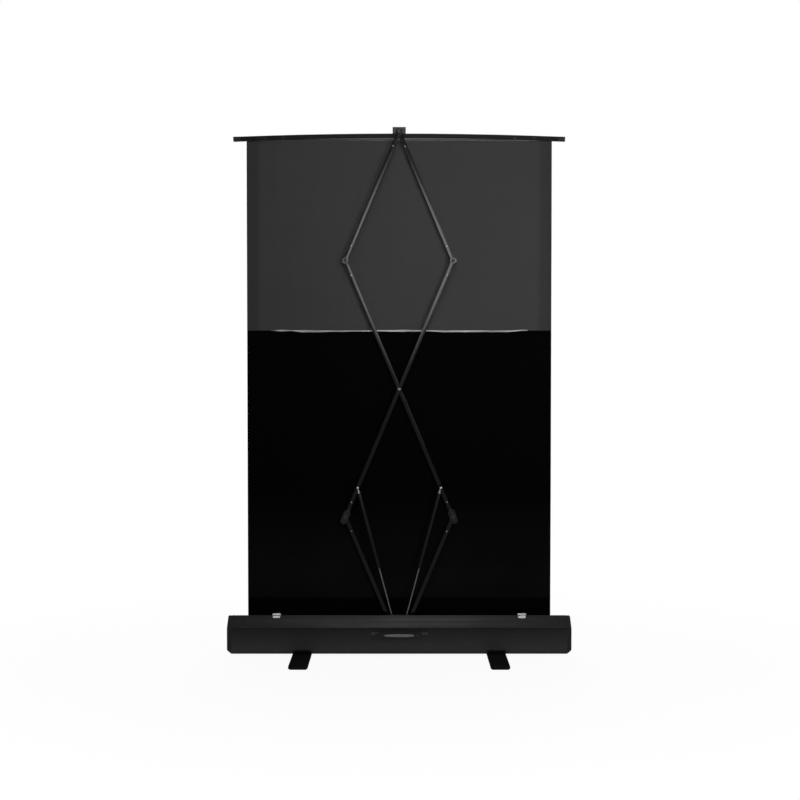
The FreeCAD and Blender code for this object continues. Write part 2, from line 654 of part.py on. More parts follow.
def arm(name, span, radii, x, z, side, near, pins=(), stud=False):
    """span is the length from pin to pin, side is +1 when the arm leans to +X as it rises,
    near is true in the layer away from the picture, pins lists the pins that ride on this arm,
    and stud adds a strut's stud and the long elbow plate below it."""
    layer = NEAR if near else FAR
    turn = "open_angle" if side > 0 else "-open_angle"
    out = -1 if near else 1
    holes = [disc("0", "rivet_offset", "rivet_radius + running_clearance"),
             disc("0", "%s - rivet_offset" % span, "rivet_radius + running_clearance")]
    through = ("-tube_depth/2 - overrun", "tube_depth/2 + overrun")
    low_collar = "(elbow_lobe_offset + elbow_lobe_radius)" if stud else "collar_length"
    shell = new_body(name + "_tube")
    pad(shell, "XY_Plane", [rect("-tube_width/2", "tube_width/2", "-tube_depth/2", "tube_depth/2"),
                            rect("-tube_width/2 + tube_wall", "tube_width/2 - tube_wall",
                                 "-tube_depth/2 + tube_wall", "tube_depth/2 - tube_wall")],
        low_collar, "%s - collar_length" % span)
    if "middle" in pins or span.startswith("2*") and not near:
        holes.append(disc("0", "%s/2" % span, HOLE))
    cut(shell, "XZ_Plane", holes, *through)
    if stud:
        tip = "strut_plane + cylinder_radius - %s + strut_stud_gap" % layer
        pad(shell, "XZ_Plane", [disc("0", "strut_reach", "strut_stud_radius")],
            tip, "-tube_depth/2 + tube_wall")
    put(shell, x, layer, z, turn)
    ends = new_body(name + "_knuckles")
    inset = "(tube_wall + tongue_clearance)"
    for start, radius, collar in (("0", radii[0], low_collar), (span, radii[1], "collar_length")):
        away = "" if start == "0" else "%s - " % span
        pad(ends, "XZ_Plane", [disc("0", start, radius), disc("0", start, HOLE)],
            "-tube_depth/2", "tube_depth/2")
        steps = (("tube_width/2", "tube_depth/2", "2*pin_radius", collar),
                 ("tube_width/2 - " + inset, "tube_depth/2 - " + inset, collar, "tongue_length"))
        for half_wide, half_deep, low, high in steps:
            places = (away + low, away + high) if away == "" else (away + high, away + low)
            pad(ends, "XY_Plane", [rect("-(%s)" % half_wide, half_wide, "-(%s)" % half_deep, half_deep)],
                *places)
    if stud:
        elbow_pin = disc("0", "0", HOLE)
        pad(ends, "XZ_Plane", [rect("-elbow_lobe_radius", "elbow_lobe_radius", "-elbow_lobe_offset",
                                    "elbow_lobe_offset"), elbow_pin], "-tube_depth/2", "tube_depth/2")
        for place in ("-elbow_lobe_offset", "elbow_lobe_offset"):
            pad(ends, "XZ_Plane", [disc("0", place, "elbow_lobe_radius")], "-tube_depth/2", "tube_depth/2")
    cut(ends, "XZ_Plane", holes[:2] + ([disc("0", "0", HOLE)] if stud else []), *through)
    put(ends, x, layer, z, turn)
    rivets = new_body(name + "_rivets")
    for place in ("rivet_offset", "%s - rivet_offset" % span):
        pad(rivets, "XZ_Plane", [disc("0", place, "rivet_radius")], "-tube_depth/2", "tube_depth/2")
        if out > 0:
            pad(rivets, "XZ_Plane", [disc("0", place, "rivet_head_radius")], "tube_depth/2",
                "tube_depth/2 + rivet_head_height")
        else:
            pad(rivets, "XZ_Plane", [disc("0", place, "rivet_head_radius")],
                "-tube_depth/2 - rivet_head_height", "-tube_depth/2")
    back = "%s - pin_head_gap - %s" % (NEAR_BACK, layer)
    face = "%s + pin_head_gap - %s" % (FAR_FRONT, layer)
    for which in pins:
        place = {"low": "0", "middle": "%s/2" % span, "high": span}[which]
        pad(rivets, "XZ_Plane", [disc("0", place, "pin_radius")], back, face)
        pad(rivets, "XZ_Plane", [disc("0", place, "pin_head_radius")], back + " - pin_head_height", back)
        pad(rivets, "XZ_Plane", [disc("0", place, "pin_head_radius")], face, face + " + pin_head_height")
    put(rivets, x, layer, z, turn)


ELBOW = "base_height + " + RISE
HIGH_ELBOW = "base_height + 3*" + RISE
SMALL_BIG = ("end_knuckle_radius", "knuckle_radius")
BIG_SMALL = ("knuckle_radius", "end_knuckle_radius")
BIG_BIG = ("knuckle_radius", "knuckle_radius")
arm("lower_left", "arm_pitch", SMALL_BIG, "0", "base_height", -1, False)
arm("lower_right", "arm_pitch", SMALL_BIG, "0", "base_height", 1, True)
arm("cross_a", "2*arm_pitch", BIG_BIG, "-" + SPREAD, ELBOW, 1, True, ("low", "middle", "high"), True)
arm("cross_b", "2*arm_pitch", BIG_BIG, SPREAD, ELBOW, -1, False, ("low", "high"), True)
arm("upper_left", "arm_pitch", BIG_SMALL, "-" + SPREAD, HIGH_ELBOW, 1, True)
arm("upper_right", "arm_pitch", BIG_SMALL, SPREAD, HIGH_ELBOW, -1, False)

# Gas struts: rod on the case, cylinder sliding on it, drawn upright from the lower pin and then leant.

STUD_X = "(%s - strut_reach*sin(open_angle))" % SPREAD
STUD_Z = "(%s + strut_reach*cos(open_angle))" % ELBOW
STRUT = "sqrt((%s - strut_pin_spread/2)^2 + (%s - strut_pin_height)^2)" % (STUD_X, STUD_Z)
tilt = math.degrees(math.atan2(number(STUD_X + " - strut_pin_spread/2"),
                               number(STUD_Z + " - strut_pin_height")))
CYLINDER_TOP = "(%s - socket_neck_length)" % STRUT
CYLINDER_LOW = "(%s - cylinder_length)" % CYLINDER_TOP
ROD_TOP = "(%s + gland_length + piston_travel_left)" % CYLINDER_LOW
for side, name in ((-1, "left"), (1, "right")):
    x = "-strut_pin_spread/2" if side < 0 else "strut_pin_spread/2"
    cylinder = new_body(name + "_strut_cylinder")
    bore = disc("0", "0", "cylinder_bore_radius")
    wall = disc("0", "0", "cylinder_radius")
    pad(cylinder, "XY_Plane", [wall, disc("0", "0", "rod_radius + running_clearance")],
        CYLINDER_LOW, CYLINDER_LOW + " + gland_length")
    pad(cylinder, "XY_Plane", [wall, bore], CYLINDER_LOW + " + gland_length", CYLINDER_TOP + " - gland_length")
    pad(cylinder, "XY_Plane", [wall], CYLINDER_TOP + " - gland_length", CYLINDER_TOP)
    pad(cylinder, "XY_Plane", [disc("0", "0", "socket_neck_radius")], CYLINDER_TOP, STRUT)
    pad(cylinder, "XZ_Plane", [disc("0", STRUT, "socket_radius")], "-socket_back", "cylinder_radius")
    pad(cylinder, "XZ_Plane", [disc("0", STRUT, "socket_nut_radius")],
        "-socket_back - socket_nut_height", "-socket_back")
    put(cylinder, x, "strut_plane", "strut_pin_height")
    rod = new_body(name + "_strut_rod")
    pad(rod, "XZ_Plane", [disc("0", "0", "rod_eye_radius"), disc("0", "0", STRUT_PIN_HOLE)],
        "-rod_eye_width/2", "rod_eye_width/2")
    pad(rod, "XY_Plane", [disc("0", "0", "rod_radius")], "rod_eye_radius*rod_seat_share", ROD_TOP)
    pad(rod, "XY_Plane", [disc("0", "0", "cylinder_bore_radius - piston_clearance")],
        ROD_TOP, ROD_TOP + " + piston_length")
    put(rod, x, "strut_plane", "strut_pin_height")
    for body in (cylinder, rod):
        body.Placement = FreeCAD.Placement(body.Placement.Base, FreeCAD.Rotation(AXIS_Y, side*tilt))

# Top bar: a bowed channel, open below, over a straight batten that holds the sheet.

BOW_RADIUS = "(((%s + plug_end_length)^2 + bar_bow^2)/(2*bar_bow))" % BAR_END
BAR_TOP = "(%s - bar_below_pin)" % TOP_PIN
BAR_LOW = "(%s - bar_height)" % BAR_TOP
BOW_CENTRE = "(%s - %s)" % (BAR_TOP, BOW_RADIUS)
BAR_FRONT = "(bar_rear + bar_depth)"
bar = new_body("top_bar")
outline = sketch(bar, "YZ_Plane", [[
    ("bar_rear", BAR_LOW), ("bar_rear", BAR_TOP), (BAR_FRONT, BAR_TOP), (BAR_FRONT, BAR_LOW),
    (BAR_FRONT + " - bar_wall", BAR_LOW), (BAR_FRONT + " - bar_wall", BAR_TOP + " - bar_wall"),
    ("bar_rear + bar_wall", BAR_TOP + " - bar_wall"), ("bar_rear + bar_wall", BAR_LOW),
]], "0")
axis_ends = [FreeCAD.Vector(number("bar_rear"), number(BOW_CENTRE), 0),
             FreeCAD.Vector(number(BAR_FRONT), number(BOW_CENTRE), 0)]
axis_line = outline.addGeometry(Part.LineSegment(*axis_ends), True)
pin_point(outline, axis_line, 1, "bar_rear", BOW_CENTRE)
pin_point(outline, axis_line, 2, BAR_FRONT, BOW_CENTRE)
sweep = bar.newObject("PartDesign::Revolution", "top_bar_bow")
sweep.Profile = outline
sweep.ReferenceAxis = (outline, ["Axis0"])
sweep.Midplane = True
sweep.setExpression("Angle", bound("2*asin(%s/%s)" % (BAR_END, BOW_RADIUS)))
doc.recompute()
BATTEN_LOW = "(%s - batten_below_bar)" % BAR_LOW
SCREW_OUT = "(%s - bar_screw_inset)" % BAR_END
SCREW_X = ("-" + SCREW_OUT, "-%s + bar_screw_pitch" % SCREW_OUT, SCREW_OUT + " - bar_screw_pitch", SCREW_OUT)
SCREW_Z = "(%s + bar_screw_rise)" % BATTEN_LOW
cut(bar, "XZ_Plane", [disc(x, SCREW_Z, "bar_screw_radius + running_clearance") for x in SCREW_X],
    "bar_rear - overrun", "bar_rear + bar_wall + overrun")

BATTEN_REAR = "(fabric_plane - batten_thick/2)"
batten = new_body("fabric_batten")
BATTEN_END = "(%s + batten_overhang)" % FABRIC_EDGE
pad(batten, "XZ_Plane", [rect("-" + BATTEN_END, BATTEN_END, BATTEN_LOW, BATTEN_LOW + " + batten_height")],
    BATTEN_REAR, BATTEN_REAR + " + batten_thick")

bar_screws = new_body("bar_screws")
pad(bar_screws, "XZ_Plane", [disc(x, SCREW_Z, "bar_screw_radius") for x in SCREW_X], "bar_rear", BATTEN_REAR)
pad(bar_screws, "XZ_Plane", [disc(x, SCREW_Z, "bar_screw_head_radius") for x in SCREW_X],
    "bar_rear - bar_screw_head_height", "bar_rear")

bow_radius = number(BOW_RADIUS)
bow_angle = math.asin(number(BAR_END)/bow_radius)
plug_corner = FreeCAD.Vector(0, number("bar_rear - plug_end_grow"), -number("bar_height + plug_end_grow"))
solids = []
for side in (-1, 1):
    block = Part.makeBox(number("plug_end_length"), number("bar_depth + 2*plug_end_grow"),
                         number("bar_height + 2*plug_end_grow"), plug_corner)
    if side < 0:
        block = block.mirror(FreeCAD.Vector(0, 0, 0), FreeCAD.Vector(1, 0, 0))
    block.rotate(FreeCAD.Vector(0, 0, 0), AXIS_Y, side*math.degrees(bow_angle))
    block.translate(FreeCAD.Vector(side*bow_radius*math.sin(bow_angle), 0,
                                   number(BOW_CENTRE) + bow_radius*math.cos(bow_angle)))
    solids.append(block)
end_plugs = doc.addObject("Part::Feature", "bar_end_plugs")
end_plugs.Shape = Part.makeCompound(solids)
PARTS.append(end_plugs)

top_block = new_body("top_block")
BLOCK_REAR = "(%s + block_rear_gap)" % FAR_FRONT
pad(top_block, "XZ_Plane", [
    rect("-block_width/2", "block_width/2", BAR_TOP, BAR_TOP + " + block_height"),
    disc("0", TOP_PIN, HOLE),
], BLOCK_REAR, BAR_FRONT)

top_pin = new_body("top_pin")
PIN_BACK = "(%s - pin_head_gap)" % NEAR_BACK
pad(top_pin, "XZ_Plane", [disc("0", TOP_PIN, "pin_radius")], PIN_BACK, BLOCK_REAR + " + block_pin_depth")
pad(top_pin, "XZ_Plane", [disc("0", TOP_PIN, "pin_head_radius")], PIN_BACK + " - pin_head_height", PIN_BACK)

# Sheet: the picture above the seam, the black drop below it, down to the roller.

picture = new_body("picture_fabric")
SHEET_TOP = "(%s - sheet_gap)" % BATTEN_LOW
pad(picture, "XZ_Plane", [rect("-" + FABRIC_EDGE, FABRIC_EDGE, "seam_height", SHEET_TOP)],
    FABRIC_BACK, FABRIC_FRONT)
face = new_body("picture_face")
PICTURE_EDGE = "(%s - picture_border)" % FABRIC_EDGE
pad(face, "XZ_Plane", [rect("-" + PICTURE_EDGE, PICTURE_EDGE, "seam_height + picture_lift",
                            SHEET_TOP + " - picture_top_border")], FABRIC_FRONT, FABRIC_FRONT + " + picture_coat")
drop = new_body("black_drop")
pad(drop, "XZ_Plane", [rect("-" + FABRIC_EDGE, FABRIC_EDGE, "roller_height", "seam_height")],
    FABRIC_BACK, FABRIC_FRONT)
strip = new_body("seam_strip")
STRIP_EDGE = "(%s - seam_strip_inset)" % FABRIC_EDGE
pad(strip, "XZ_Plane", [rect("-" + STRIP_EDGE, STRIP_EDGE, "seam_height - seam_strip_height/2",
                             "seam_height + seam_strip_height/2")],
    FABRIC_BACK + " - seam_strip_thick", FABRIC_BACK)

doc.recompute()
for thing in doc.Objects:
    bad = [word for word in thing.State if word in ("Invalid", "Error")]
    if bad:
        raise RuntimeError("%s is %s" % (thing.Label, bad))
for piece in PARTS:
    if piece.Shape.isNull() or not piece.Shape.isValid():
        raise RuntimeError("bad shape " + piece.Label)

os.makedirs("parts", exist_ok=True)
for piece in PARTS:
    piece.Shape.exportStep(os.path.join("parts", piece.Label + ".step"))
print(len(PARTS), "pieces")
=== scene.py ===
import json
import math

import bmesh
import bpy
import numpy as np
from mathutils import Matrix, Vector


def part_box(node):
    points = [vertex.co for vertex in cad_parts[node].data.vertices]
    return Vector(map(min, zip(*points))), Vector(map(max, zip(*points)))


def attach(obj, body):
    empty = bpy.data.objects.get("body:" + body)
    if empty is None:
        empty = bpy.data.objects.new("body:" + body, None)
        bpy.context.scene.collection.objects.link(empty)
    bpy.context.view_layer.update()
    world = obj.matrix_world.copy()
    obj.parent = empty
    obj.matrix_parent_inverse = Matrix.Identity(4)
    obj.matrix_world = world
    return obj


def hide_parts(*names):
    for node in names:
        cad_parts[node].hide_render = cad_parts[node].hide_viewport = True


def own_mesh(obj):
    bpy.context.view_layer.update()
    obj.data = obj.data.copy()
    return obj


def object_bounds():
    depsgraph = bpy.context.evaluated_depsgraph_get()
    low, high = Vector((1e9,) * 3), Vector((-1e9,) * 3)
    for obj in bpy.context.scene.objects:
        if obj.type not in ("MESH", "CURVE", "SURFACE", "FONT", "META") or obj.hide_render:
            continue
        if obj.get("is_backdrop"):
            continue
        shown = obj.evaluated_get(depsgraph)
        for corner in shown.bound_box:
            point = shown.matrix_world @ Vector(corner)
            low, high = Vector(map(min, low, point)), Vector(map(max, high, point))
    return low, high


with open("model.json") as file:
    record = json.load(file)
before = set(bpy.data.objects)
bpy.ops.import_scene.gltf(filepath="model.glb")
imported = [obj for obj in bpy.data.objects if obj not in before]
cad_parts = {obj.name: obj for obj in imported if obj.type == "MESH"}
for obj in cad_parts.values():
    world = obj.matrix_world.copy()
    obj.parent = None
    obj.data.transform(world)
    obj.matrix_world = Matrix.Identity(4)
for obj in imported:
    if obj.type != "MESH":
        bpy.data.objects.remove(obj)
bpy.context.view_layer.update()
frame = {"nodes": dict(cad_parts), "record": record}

# Portable pull-up projection screen, seen from the linkage side.
# Metres; X along the case, Y towards the picture side, Z up.

JOINT = {joint["name"]: joint for joint in frame["record"]["behaviour"]["joints"]}
SLOT = {row["node"]: row["material_slot"] for row in frame["record"]["subparts"]}


def pivot(name):
    return np.array(JOINT[name]["pos_m"], float)


BASE = pivot("fold")
LOW_LEFT = pivot("lower_left_elbow")
LOW_RIGHT = pivot("lower_right_elbow")
HIGH_LEFT = pivot("upper_left_elbow")
HIGH_RIGHT = pivot("upper_right_elbow")
TOP = pivot("bar_level")


# Materials

class Wire:
    """A socket that can stand in a sum: each operator adds one Math node."""

    def __init__(self, nodes, socket):
        self.nodes = nodes
        self.socket = socket

    def math(self, operation, *values):
        return self.nodes.node("ShaderNodeMath", {"operation": operation}, dict(enumerate(values)))

    def __add__(self, other):
        return self.math("ADD", self, other)

    def __sub__(self, other):
        return self.math("SUBTRACT", self, other)

    def __rsub__(self, other):
        return self.math("SUBTRACT", other, self)

    def __mul__(self, other):
        return self.math("MULTIPLY", self, other)

    def __truediv__(self, other):
        return self.math("DIVIDE", self, other)

    def __abs__(self):
        return self.math("ABSOLUTE", self)

    def clamped(self):
        return self.math("MINIMUM", self.math("MAXIMUM", self, 0.0), 1.0)

    def sine(self):
        return self.math("SINE", self)

    def root(self):
        return self.math("SQRT", self)

    def above(self, edge, soft):
        """0 below edge, 1 above it, with a ramp of width soft."""
        return ((self - edge) / soft + 0.5).clamped()

    __radd__ = __add__
    __rmul__ = __mul__


class Nodes:
    """A cleared node tree that expressions are written into."""

    def __init__(self, tree):
        tree.nodes.clear()
        self.tree = tree

    def feed(self, socket, value):
        if isinstance(value, Wire):
            self.tree.links.new(value.socket, socket)
        else:
            socket.default_value = value

    def node(self, kind, settings=None, inputs=None, out=0):
        made = self.tree.nodes.new(kind)
        for key, value in (settings or {}).items():
            setattr(made, key, value)
        for key, value in (inputs or {}).items():
            self.feed(made.inputs[key], value)
        return Wire(self, made.outputs[out])

    def outlets(self, wire):
        """Every outlet of the node that a wire comes from, by name."""
        return {socket.name: Wire(self, socket) for socket in wire.socket.node.outputs}

    def seen(self, mirrored_share):
        """1 for a ray from the camera or through glass, and a share of 1 for one off a glossy surface."""
        rays = self.outlets(self.node("ShaderNodeLightPath"))
        direct = rays["Is Camera Ray"] + rays["Is Transmission Ray"]
        return (direct + rays["Is Glossy Ray"] * mirrored_share).clamped()


class Paint(Nodes):
    """One finish: a Principled surface, with constant sockets set directly and the rest fed by nodes."""

    def __init__(self, name, **fixed):
        self.material = bpy.data.materials.new(name)
        self.material.use_nodes = True
        super().__init__(self.material.node_tree)
        self.surface = self.node("ShaderNodeBsdfPrincipled")
        self.shader = self.surface.socket.node
        self.end = self.tree.nodes.new("ShaderNodeOutputMaterial")
        self.feed(self.end.inputs["Surface"], self.surface)
        for socket, value in fixed.items():
            self.shader.inputs[socket.replace("_", " ")].default_value = value

    def place(self, attribute=None):
        """The piece's own position, or an attribute of the piece that follows its surface."""
        if attribute:
            return self.node("ShaderNodeAttribute", {"attribute_name": attribute}, out="Vector")
        return self.node("ShaderNodeTexCoord", out="Object")

    def axes(self, where):
        split = self.outlets(self.node("ShaderNodeSeparateXYZ", None, {0: where}))
        return split["X"], split["Y"], split["Z"]

    def noise(self, where, stretch, detail=2.0, rough=0.5, warp=0.0):
        """Noise from 0 to 1, with its own count of features per metre along each axis."""
        moved = self.node("ShaderNodeMapping", None, {"Vector": where, "Scale": stretch})
        return self.node("ShaderNodeTexNoise", None, {"Vector": moved, "Scale": 1.0, "Detail": detail,
                                                      "Roughness": rough, "Distortion": warp})

    def weave(self, x, z):
        """A plain weave, from 0 to 1."""
        return (x * (math.tau / WEAVE_PITCH)).sine() * (z * (math.tau / WEAVE_PITCH)).sine() * 0.5 + 0.5

    def mix(self, amount, first, second):
        """Colour from first to second as amount goes from 0 to 1."""
        pair = [colour if isinstance(colour, Wire) else (*colour, 1.0) for colour in (first, second)]
        return self.node("ShaderNodeMix", {"data_type": "RGBA"}, {0: amount, 6: pair[0], 7: pair[1]}, 2)

    def show(self, colour=None, rough=None, height=None, depth=0.0002, coat=None):
        for key, value in (("Base Color", colour), ("Roughness", rough), ("Coat Weight", coat)):
            if value is not None:
                self.feed(self.shader.inputs[key], value)
        if height is not None:
            bump = self.node("ShaderNodeBump", None, {"Height": height, "Distance": depth, "Strength": 1.0})
            self.feed(self.shader.inputs["Normal"], bump)
        return self.material


# Where a finish changes, in metres, and the width over which it does.

# Painted floor light on the case wall: the height where it fades out, and the width of the fade.
FLOOR_LIGHT_MIDDLE, FLOOR_LIGHT_SOFT = 0.065, 0.1
ROLLED_EDGE, ROLLED_SOFT = 0.034, 0.012
# Painted shade along the sheet's side edges: where it starts, and the width of its ramp.
SIDE_SHADE_START, SIDE_SHADE_SOFT = 0.578, 0.02
# Painted shade on the drop next to the slot, below this height.
SLOT_SHADE_TOP, SLOT_SHADE_SOFT = 0.232, 0.012
# Painted sheen on the drop, fading out above this height.
SHEEN_TOP, SHEEN_SOFT = 0.5, 0.3
WEAVE_PITCH = 0.0011


def grey(level):
    return (level, level, level)


def extruded_black(name, level, rough):
    """Satin powder coat on a long extrusion: draw lines and long streaks along X, orange peel, faint rubs,
    and painted light: the wall grows paler towards the floor, as the floor's reflection, but not on the
    rolled edge below."""
    p = Paint(name, IOR=1.45, Specular_IOR_Level=0.2)
    where = p.place()
    peel = p.noise(where, (900.0, 900.0, 900.0), detail=1.0)
    draw = p.noise(where, (3.0, 520.0, 520.0))
    cloud = p.noise(where, (5.0, 9.0, 9.0), detail=3.0)
    rub = p.noise(where, (16.0, 60.0, 150.0), detail=4.0).above(0.68, 0.2)
    sweep = p.noise(where, (1.4, 70.0, 70.0), detail=3.0)
    _, _, z = p.axes(where)
    # Painted light: the wall grows paler towards the floor, standing in for the floor's reflection, but stays
    # dark on the rolled edge below.
    painted_floor_light = (1.0 - z.above(FLOOR_LIGHT_MIDDLE, FLOOR_LIGHT_SOFT)) * z.above(ROLLED_EDGE, ROLLED_SOFT)
    colour = p.mix(cloud * 0.5 + draw * 0.2 + sweep * 0.3, grey(level * 0.5), grey(level * 1.5))
    # Real rubs and the painted floor light both lift the coat towards a paler grey.
    rubbed_and_lit = p.mix((rub * 0.4 + painted_floor_light).clamped(), colour, grey(level * 5.0))
    uneven = cloud * 0.14 + draw * 0.1 + sweep * 0.3 + (rough - 0.27)
    return p.show(rubbed_and_lit, uneven, peel * 0.6 + draw * 0.5, 0.00010)


def moulded_black(name, level, rough, grain=1500.0, depth=0.00015, gloss=0.4):
    """Moulded plastic or cast paint: fine spark grain and a soft change of tone."""
    p = Paint(name, IOR=1.46, Specular_IOR_Level=gloss)
    where = p.place()
    spark = p.noise(where, (grain, grain, grain), rough=0.6)
    cloud = p.noise(where, (26.0, 26.0, 26.0), detail=3.0)
    colour = p.mix(cloud * 0.75 + spark * 0.25, grey(level * 0.7), grey(level * 1.35))
    return p.show(colour, cloud * 0.14 + spark * 0.12 + (rough - 0.13), spark, depth)


def white_nylon():
    """Natural nylon: slightly warm white with flow marks and a soft gloss."""
    p = Paint("white_nylon", IOR=1.5, Subsurface_Weight=0.08, Subsurface_Radius=(0.003, 0.0025, 0.002))
    where = p.place()
    flow = p.noise(where, (240.0, 60.0, 60.0), detail=3.0, warp=1.5)
    grain = p.noise(where, (1800.0, 1800.0, 1800.0), detail=1.0)
    colour = p.mix(flow, (0.5, 0.495, 0.48), (0.68, 0.675, 0.66))
    return p.show(colour, flow * 0.2 + 0.34, grain * 0.6 + flow * 0.4, 0.0001)


def ribbed_rubber(name, level, rib):
    """Rubber with fine ribs across X at the given count per metre, with painted shade in the hollows between
    them.
    """
    p = Paint(name, IOR=1.5, Specular_IOR_Level=0.4)
    where = p.place()
    x, _, _ = p.axes(where)
    ribs_and_shade = (x * (rib * math.tau)).sine() * 0.5 + 0.5
    grain = p.noise(where, (1300.0, 1300.0, 1300.0))
    cloud = p.noise(where, (40.0, 40.0, 40.0), detail=3.0)
    # Colour follows the ribs: painted shade darkens the hollows between them.
    colour = p.mix(ribs_and_shade * 0.5 + cloud * 0.5, grey(level * 0.75), grey(level * 1.25))
    return p.show(colour, cloud * 0.15 + grain * 0.1 + 0.4, ribs_and_shade * 0.8 + grain * 0.2, 0.0004)


def bright_steel(name, level, rough):
    """Plated steel: faint turning marks and small dull spots."""
    p = Paint(name, Metallic=1.0)
    where = p.place()
    turn = p.noise(where, (1600.0, 220.0, 1600.0))
    spot = p.noise(where, (300.0, 300.0, 300.0), detail=3.0)
    colour = p.mix(spot * 0.6 + turn * 0.4, grey(level * 0.78), grey(level * 1.12))
    return p.show(colour, spot * 0.16 + turn * 0.08 + rough, turn, 0.00005)


def drawn_metal(name, dark, pale, rough, along, attribute=None, depth=0.00003, **fixed):
    """Anodised drawn metal: hair lines along the length, faint blotches, scuffs that break the lines."""
    p = Paint(name, **fixed)
    where = p.place(attribute)
    fine = [900.0, 900.0, 900.0]
    fine[along] = 5.0
    lines = p.noise(where, tuple(fine), detail=3.0, rough=0.65)
    slow = [14.0, 14.0, 14.0]
    slow[along] = 4.0
    blotch = p.noise(where, tuple(slow), detail=3.0)
    scuff = p.noise(where, (120.0, 120.0, 120.0), detail=4.0, rough=0.7).above(0.66, 0.1)
    colour = p.mix(lines * 0.55 + blotch * 0.45, grey(dark), grey(pale))
    worn = p.mix(scuff * 0.35, colour, grey(pale * 1.7))
    return p.show(worn, lines * 0.08 + blotch * 0.06 + scuff * 0.1 + (rough - 0.07), lines, depth)


def strut_lacquer():
    """Gas strut cylinder: smooth black lacquer with faint grinding rings and rub marks."""
    p = Paint("strut_lacquer", IOR=1.5, Coat_Roughness=0.3, Specular_IOR_Level=0.12)
    where = p.place()
    rings = p.noise(where, (60.0, 60.0, 900.0))
    cloud = p.noise(where, (35.0, 35.0, 12.0), detail=3.0)
    colour = p.mix(rings * 0.5 + cloud * 0.5, grey(0.002), grey(0.005))
    return p.show(colour, cloud * 0.12 + 0.36, rings, 0.00004, cloud * 0.1)


def woven(name, dark, pale, rough, gloss, side_shade):
    """Coated screen cloth: a plain weave under the coating, slow upright streaks from the roller, faint bars,
    and painted shade that darkens the side edges by the given share."""
    p = Paint(name, IOR=1.45, Specular_IOR_Level=gloss)
    where = p.place()
    x, _, z = p.axes(where)
    weave = p.weave(x, z)
    streak = p.noise(where, (26.0, 1.0, 1.6), detail=3.0)
    bars = p.noise(where, (1.2, 1.0, 14.0), detail=3.0)
    cloud = p.noise(where, (2.2, 1.0, 2.6))
    # Painted shade: the side edges darkened by the given share.
    side = abs(x).above(SIDE_SHADE_START, SIDE_SHADE_SOFT) * side_shade
    amount = (streak * 0.35 + bars * 0.2 + cloud * 0.3 + weave * 0.15 - side).clamped()
    colour = p.mix(amount, dark, pale)
    return p.show(colour, streak * 0.1 + weave * 0.08 + (rough - 0.09), weave, 0.00006)


def black_cloth():
    """Black drop cloth: plain weave, with a painted sheen low down that stops short of the slot, leaving
    painted shade next to it.
    """
    p = Paint("black_cloth", IOR=1.45, Specular_IOR_Level=0.02)
    where = p.place()
    x, _, z = p.axes(where)
    weave = p.weave(x, z)
    cloud = p.noise(where, (3.0, 1.0, 4.0), detail=3.0)
    # Painted sheen: a paler cloud low on the drop; below it, next to the slot, the cloth is left darker as
    # painted shade.
    painted_sheen = z.above(SLOT_SHADE_TOP, SLOT_SHADE_SOFT) * (1.0 - z.above(SHEEN_TOP, SHEEN_SOFT)) * cloud
    colour = p.mix((painted_sheen * 0.9 + weave * 0.1).clamped(), grey(0.0004), grey(0.0062))
    return p.show(colour, cloud * 0.1 + 0.8, weave, 0.00006)


def weld_film():
    """Film along the seam: glossy, with ripples along its length; its pale tone, paler in patches,
    is a painted reflection of the glints off the seam's wrinkled edge.
    """
    p = Paint("weld_film", IOR=1.5, Coat_Weight=0.4, Coat_Roughness=0.15)
    where = p.place()
    ripple = p.noise(where, (34.0, 1.0, 320.0), detail=3.0)
    # Painted glints: patches where the film turns paler.
    painted_glints = p.noise(where, (7.0, 1.0, 30.0), detail=3.0).above(0.52, 0.3)
    colour = p.mix(ripple * 0.3 + painted_glints * 0.6, grey(0.05), grey(0.34))
    return p.show(colour, ripple * 0.3 + 0.2, ripple, 0.0005)


BLACK_SATIN = {"IOR": 1.5, "Specular_IOR_Level": 0.16}
FINISH = {
    "case_metal": extruded_black("case_coat", 0.006, 0.43),
    "end_plastic": moulded_black("end_plastic", 0.0075, 0.5, gloss=0.2),
    "nylon": white_nylon(),
    "grip_rubber": ribbed_rubber("grip_rubber", 0.12, 180.0),
    "foot_metal": moulded_black("foot_coat", 0.0068, 0.65, 1100.0, 0.0002, 0.03),
    "pad_rubber": ribbed_rubber("pad_rubber", 0.012, 240.0),
    "steel": bright_steel("dull_zinc", 0.36, 0.3),
    "bracket_metal": moulded_black("bracket_paint", 0.012, 0.42, 900.0, 0.0001),
    "arm_metal": drawn_metal("arm_anodised", 0.0008, 0.002, 0.2, 2, "lay", 0.00001, **BLACK_SATIN),
    "knuckle_plastic": moulded_black("knuckle_casting", 0.005, 0.22, 1200.0, 0.00001, 0.26),
    "bar_metal": drawn_metal("bar_anodised", 0.002, 0.006, 0.42, 0, IOR=1.5, Specular_IOR_Level=0.09),
    "batten_metal": drawn_metal("batten_anodised", 0.08, 0.125, 0.42, 0, **BLACK_SATIN),
    "strut_paint": strut_lacquer(),
    "strut_chrome": bright_steel("strut_chrome", 0.15, 0.24),
    "roller_metal": drawn_metal("roller_mill", 0.4, 0.6, 0.36, 0, Metallic=1.0),
    "plug_plastic": moulded_black("plug_plastic", 0.08, 0.45),
    "sheet_grey": woven("sheet_back", grey(0.02), grey(0.036), 0.68, 0.12, 0.5),
    "sheet_black": black_cloth(),
    "sheet_white": woven("sheet_white", (0.8, 0.8, 0.79), (0.88, 0.88, 0.875), 0.75, 0.2, 0.0),
    "seam_pale": weld_film(),
}
RIVET = bright_steel("rivet_alloy", 0.16, 0.36)
PIN_CAP = moulded_black("pin_cap", 0.006, 0.4, 1500.0, 0.0001)
BLACK_OXIDE = moulded_black("black_oxide", 0.01, 0.38, 2000.0, 0.00005)
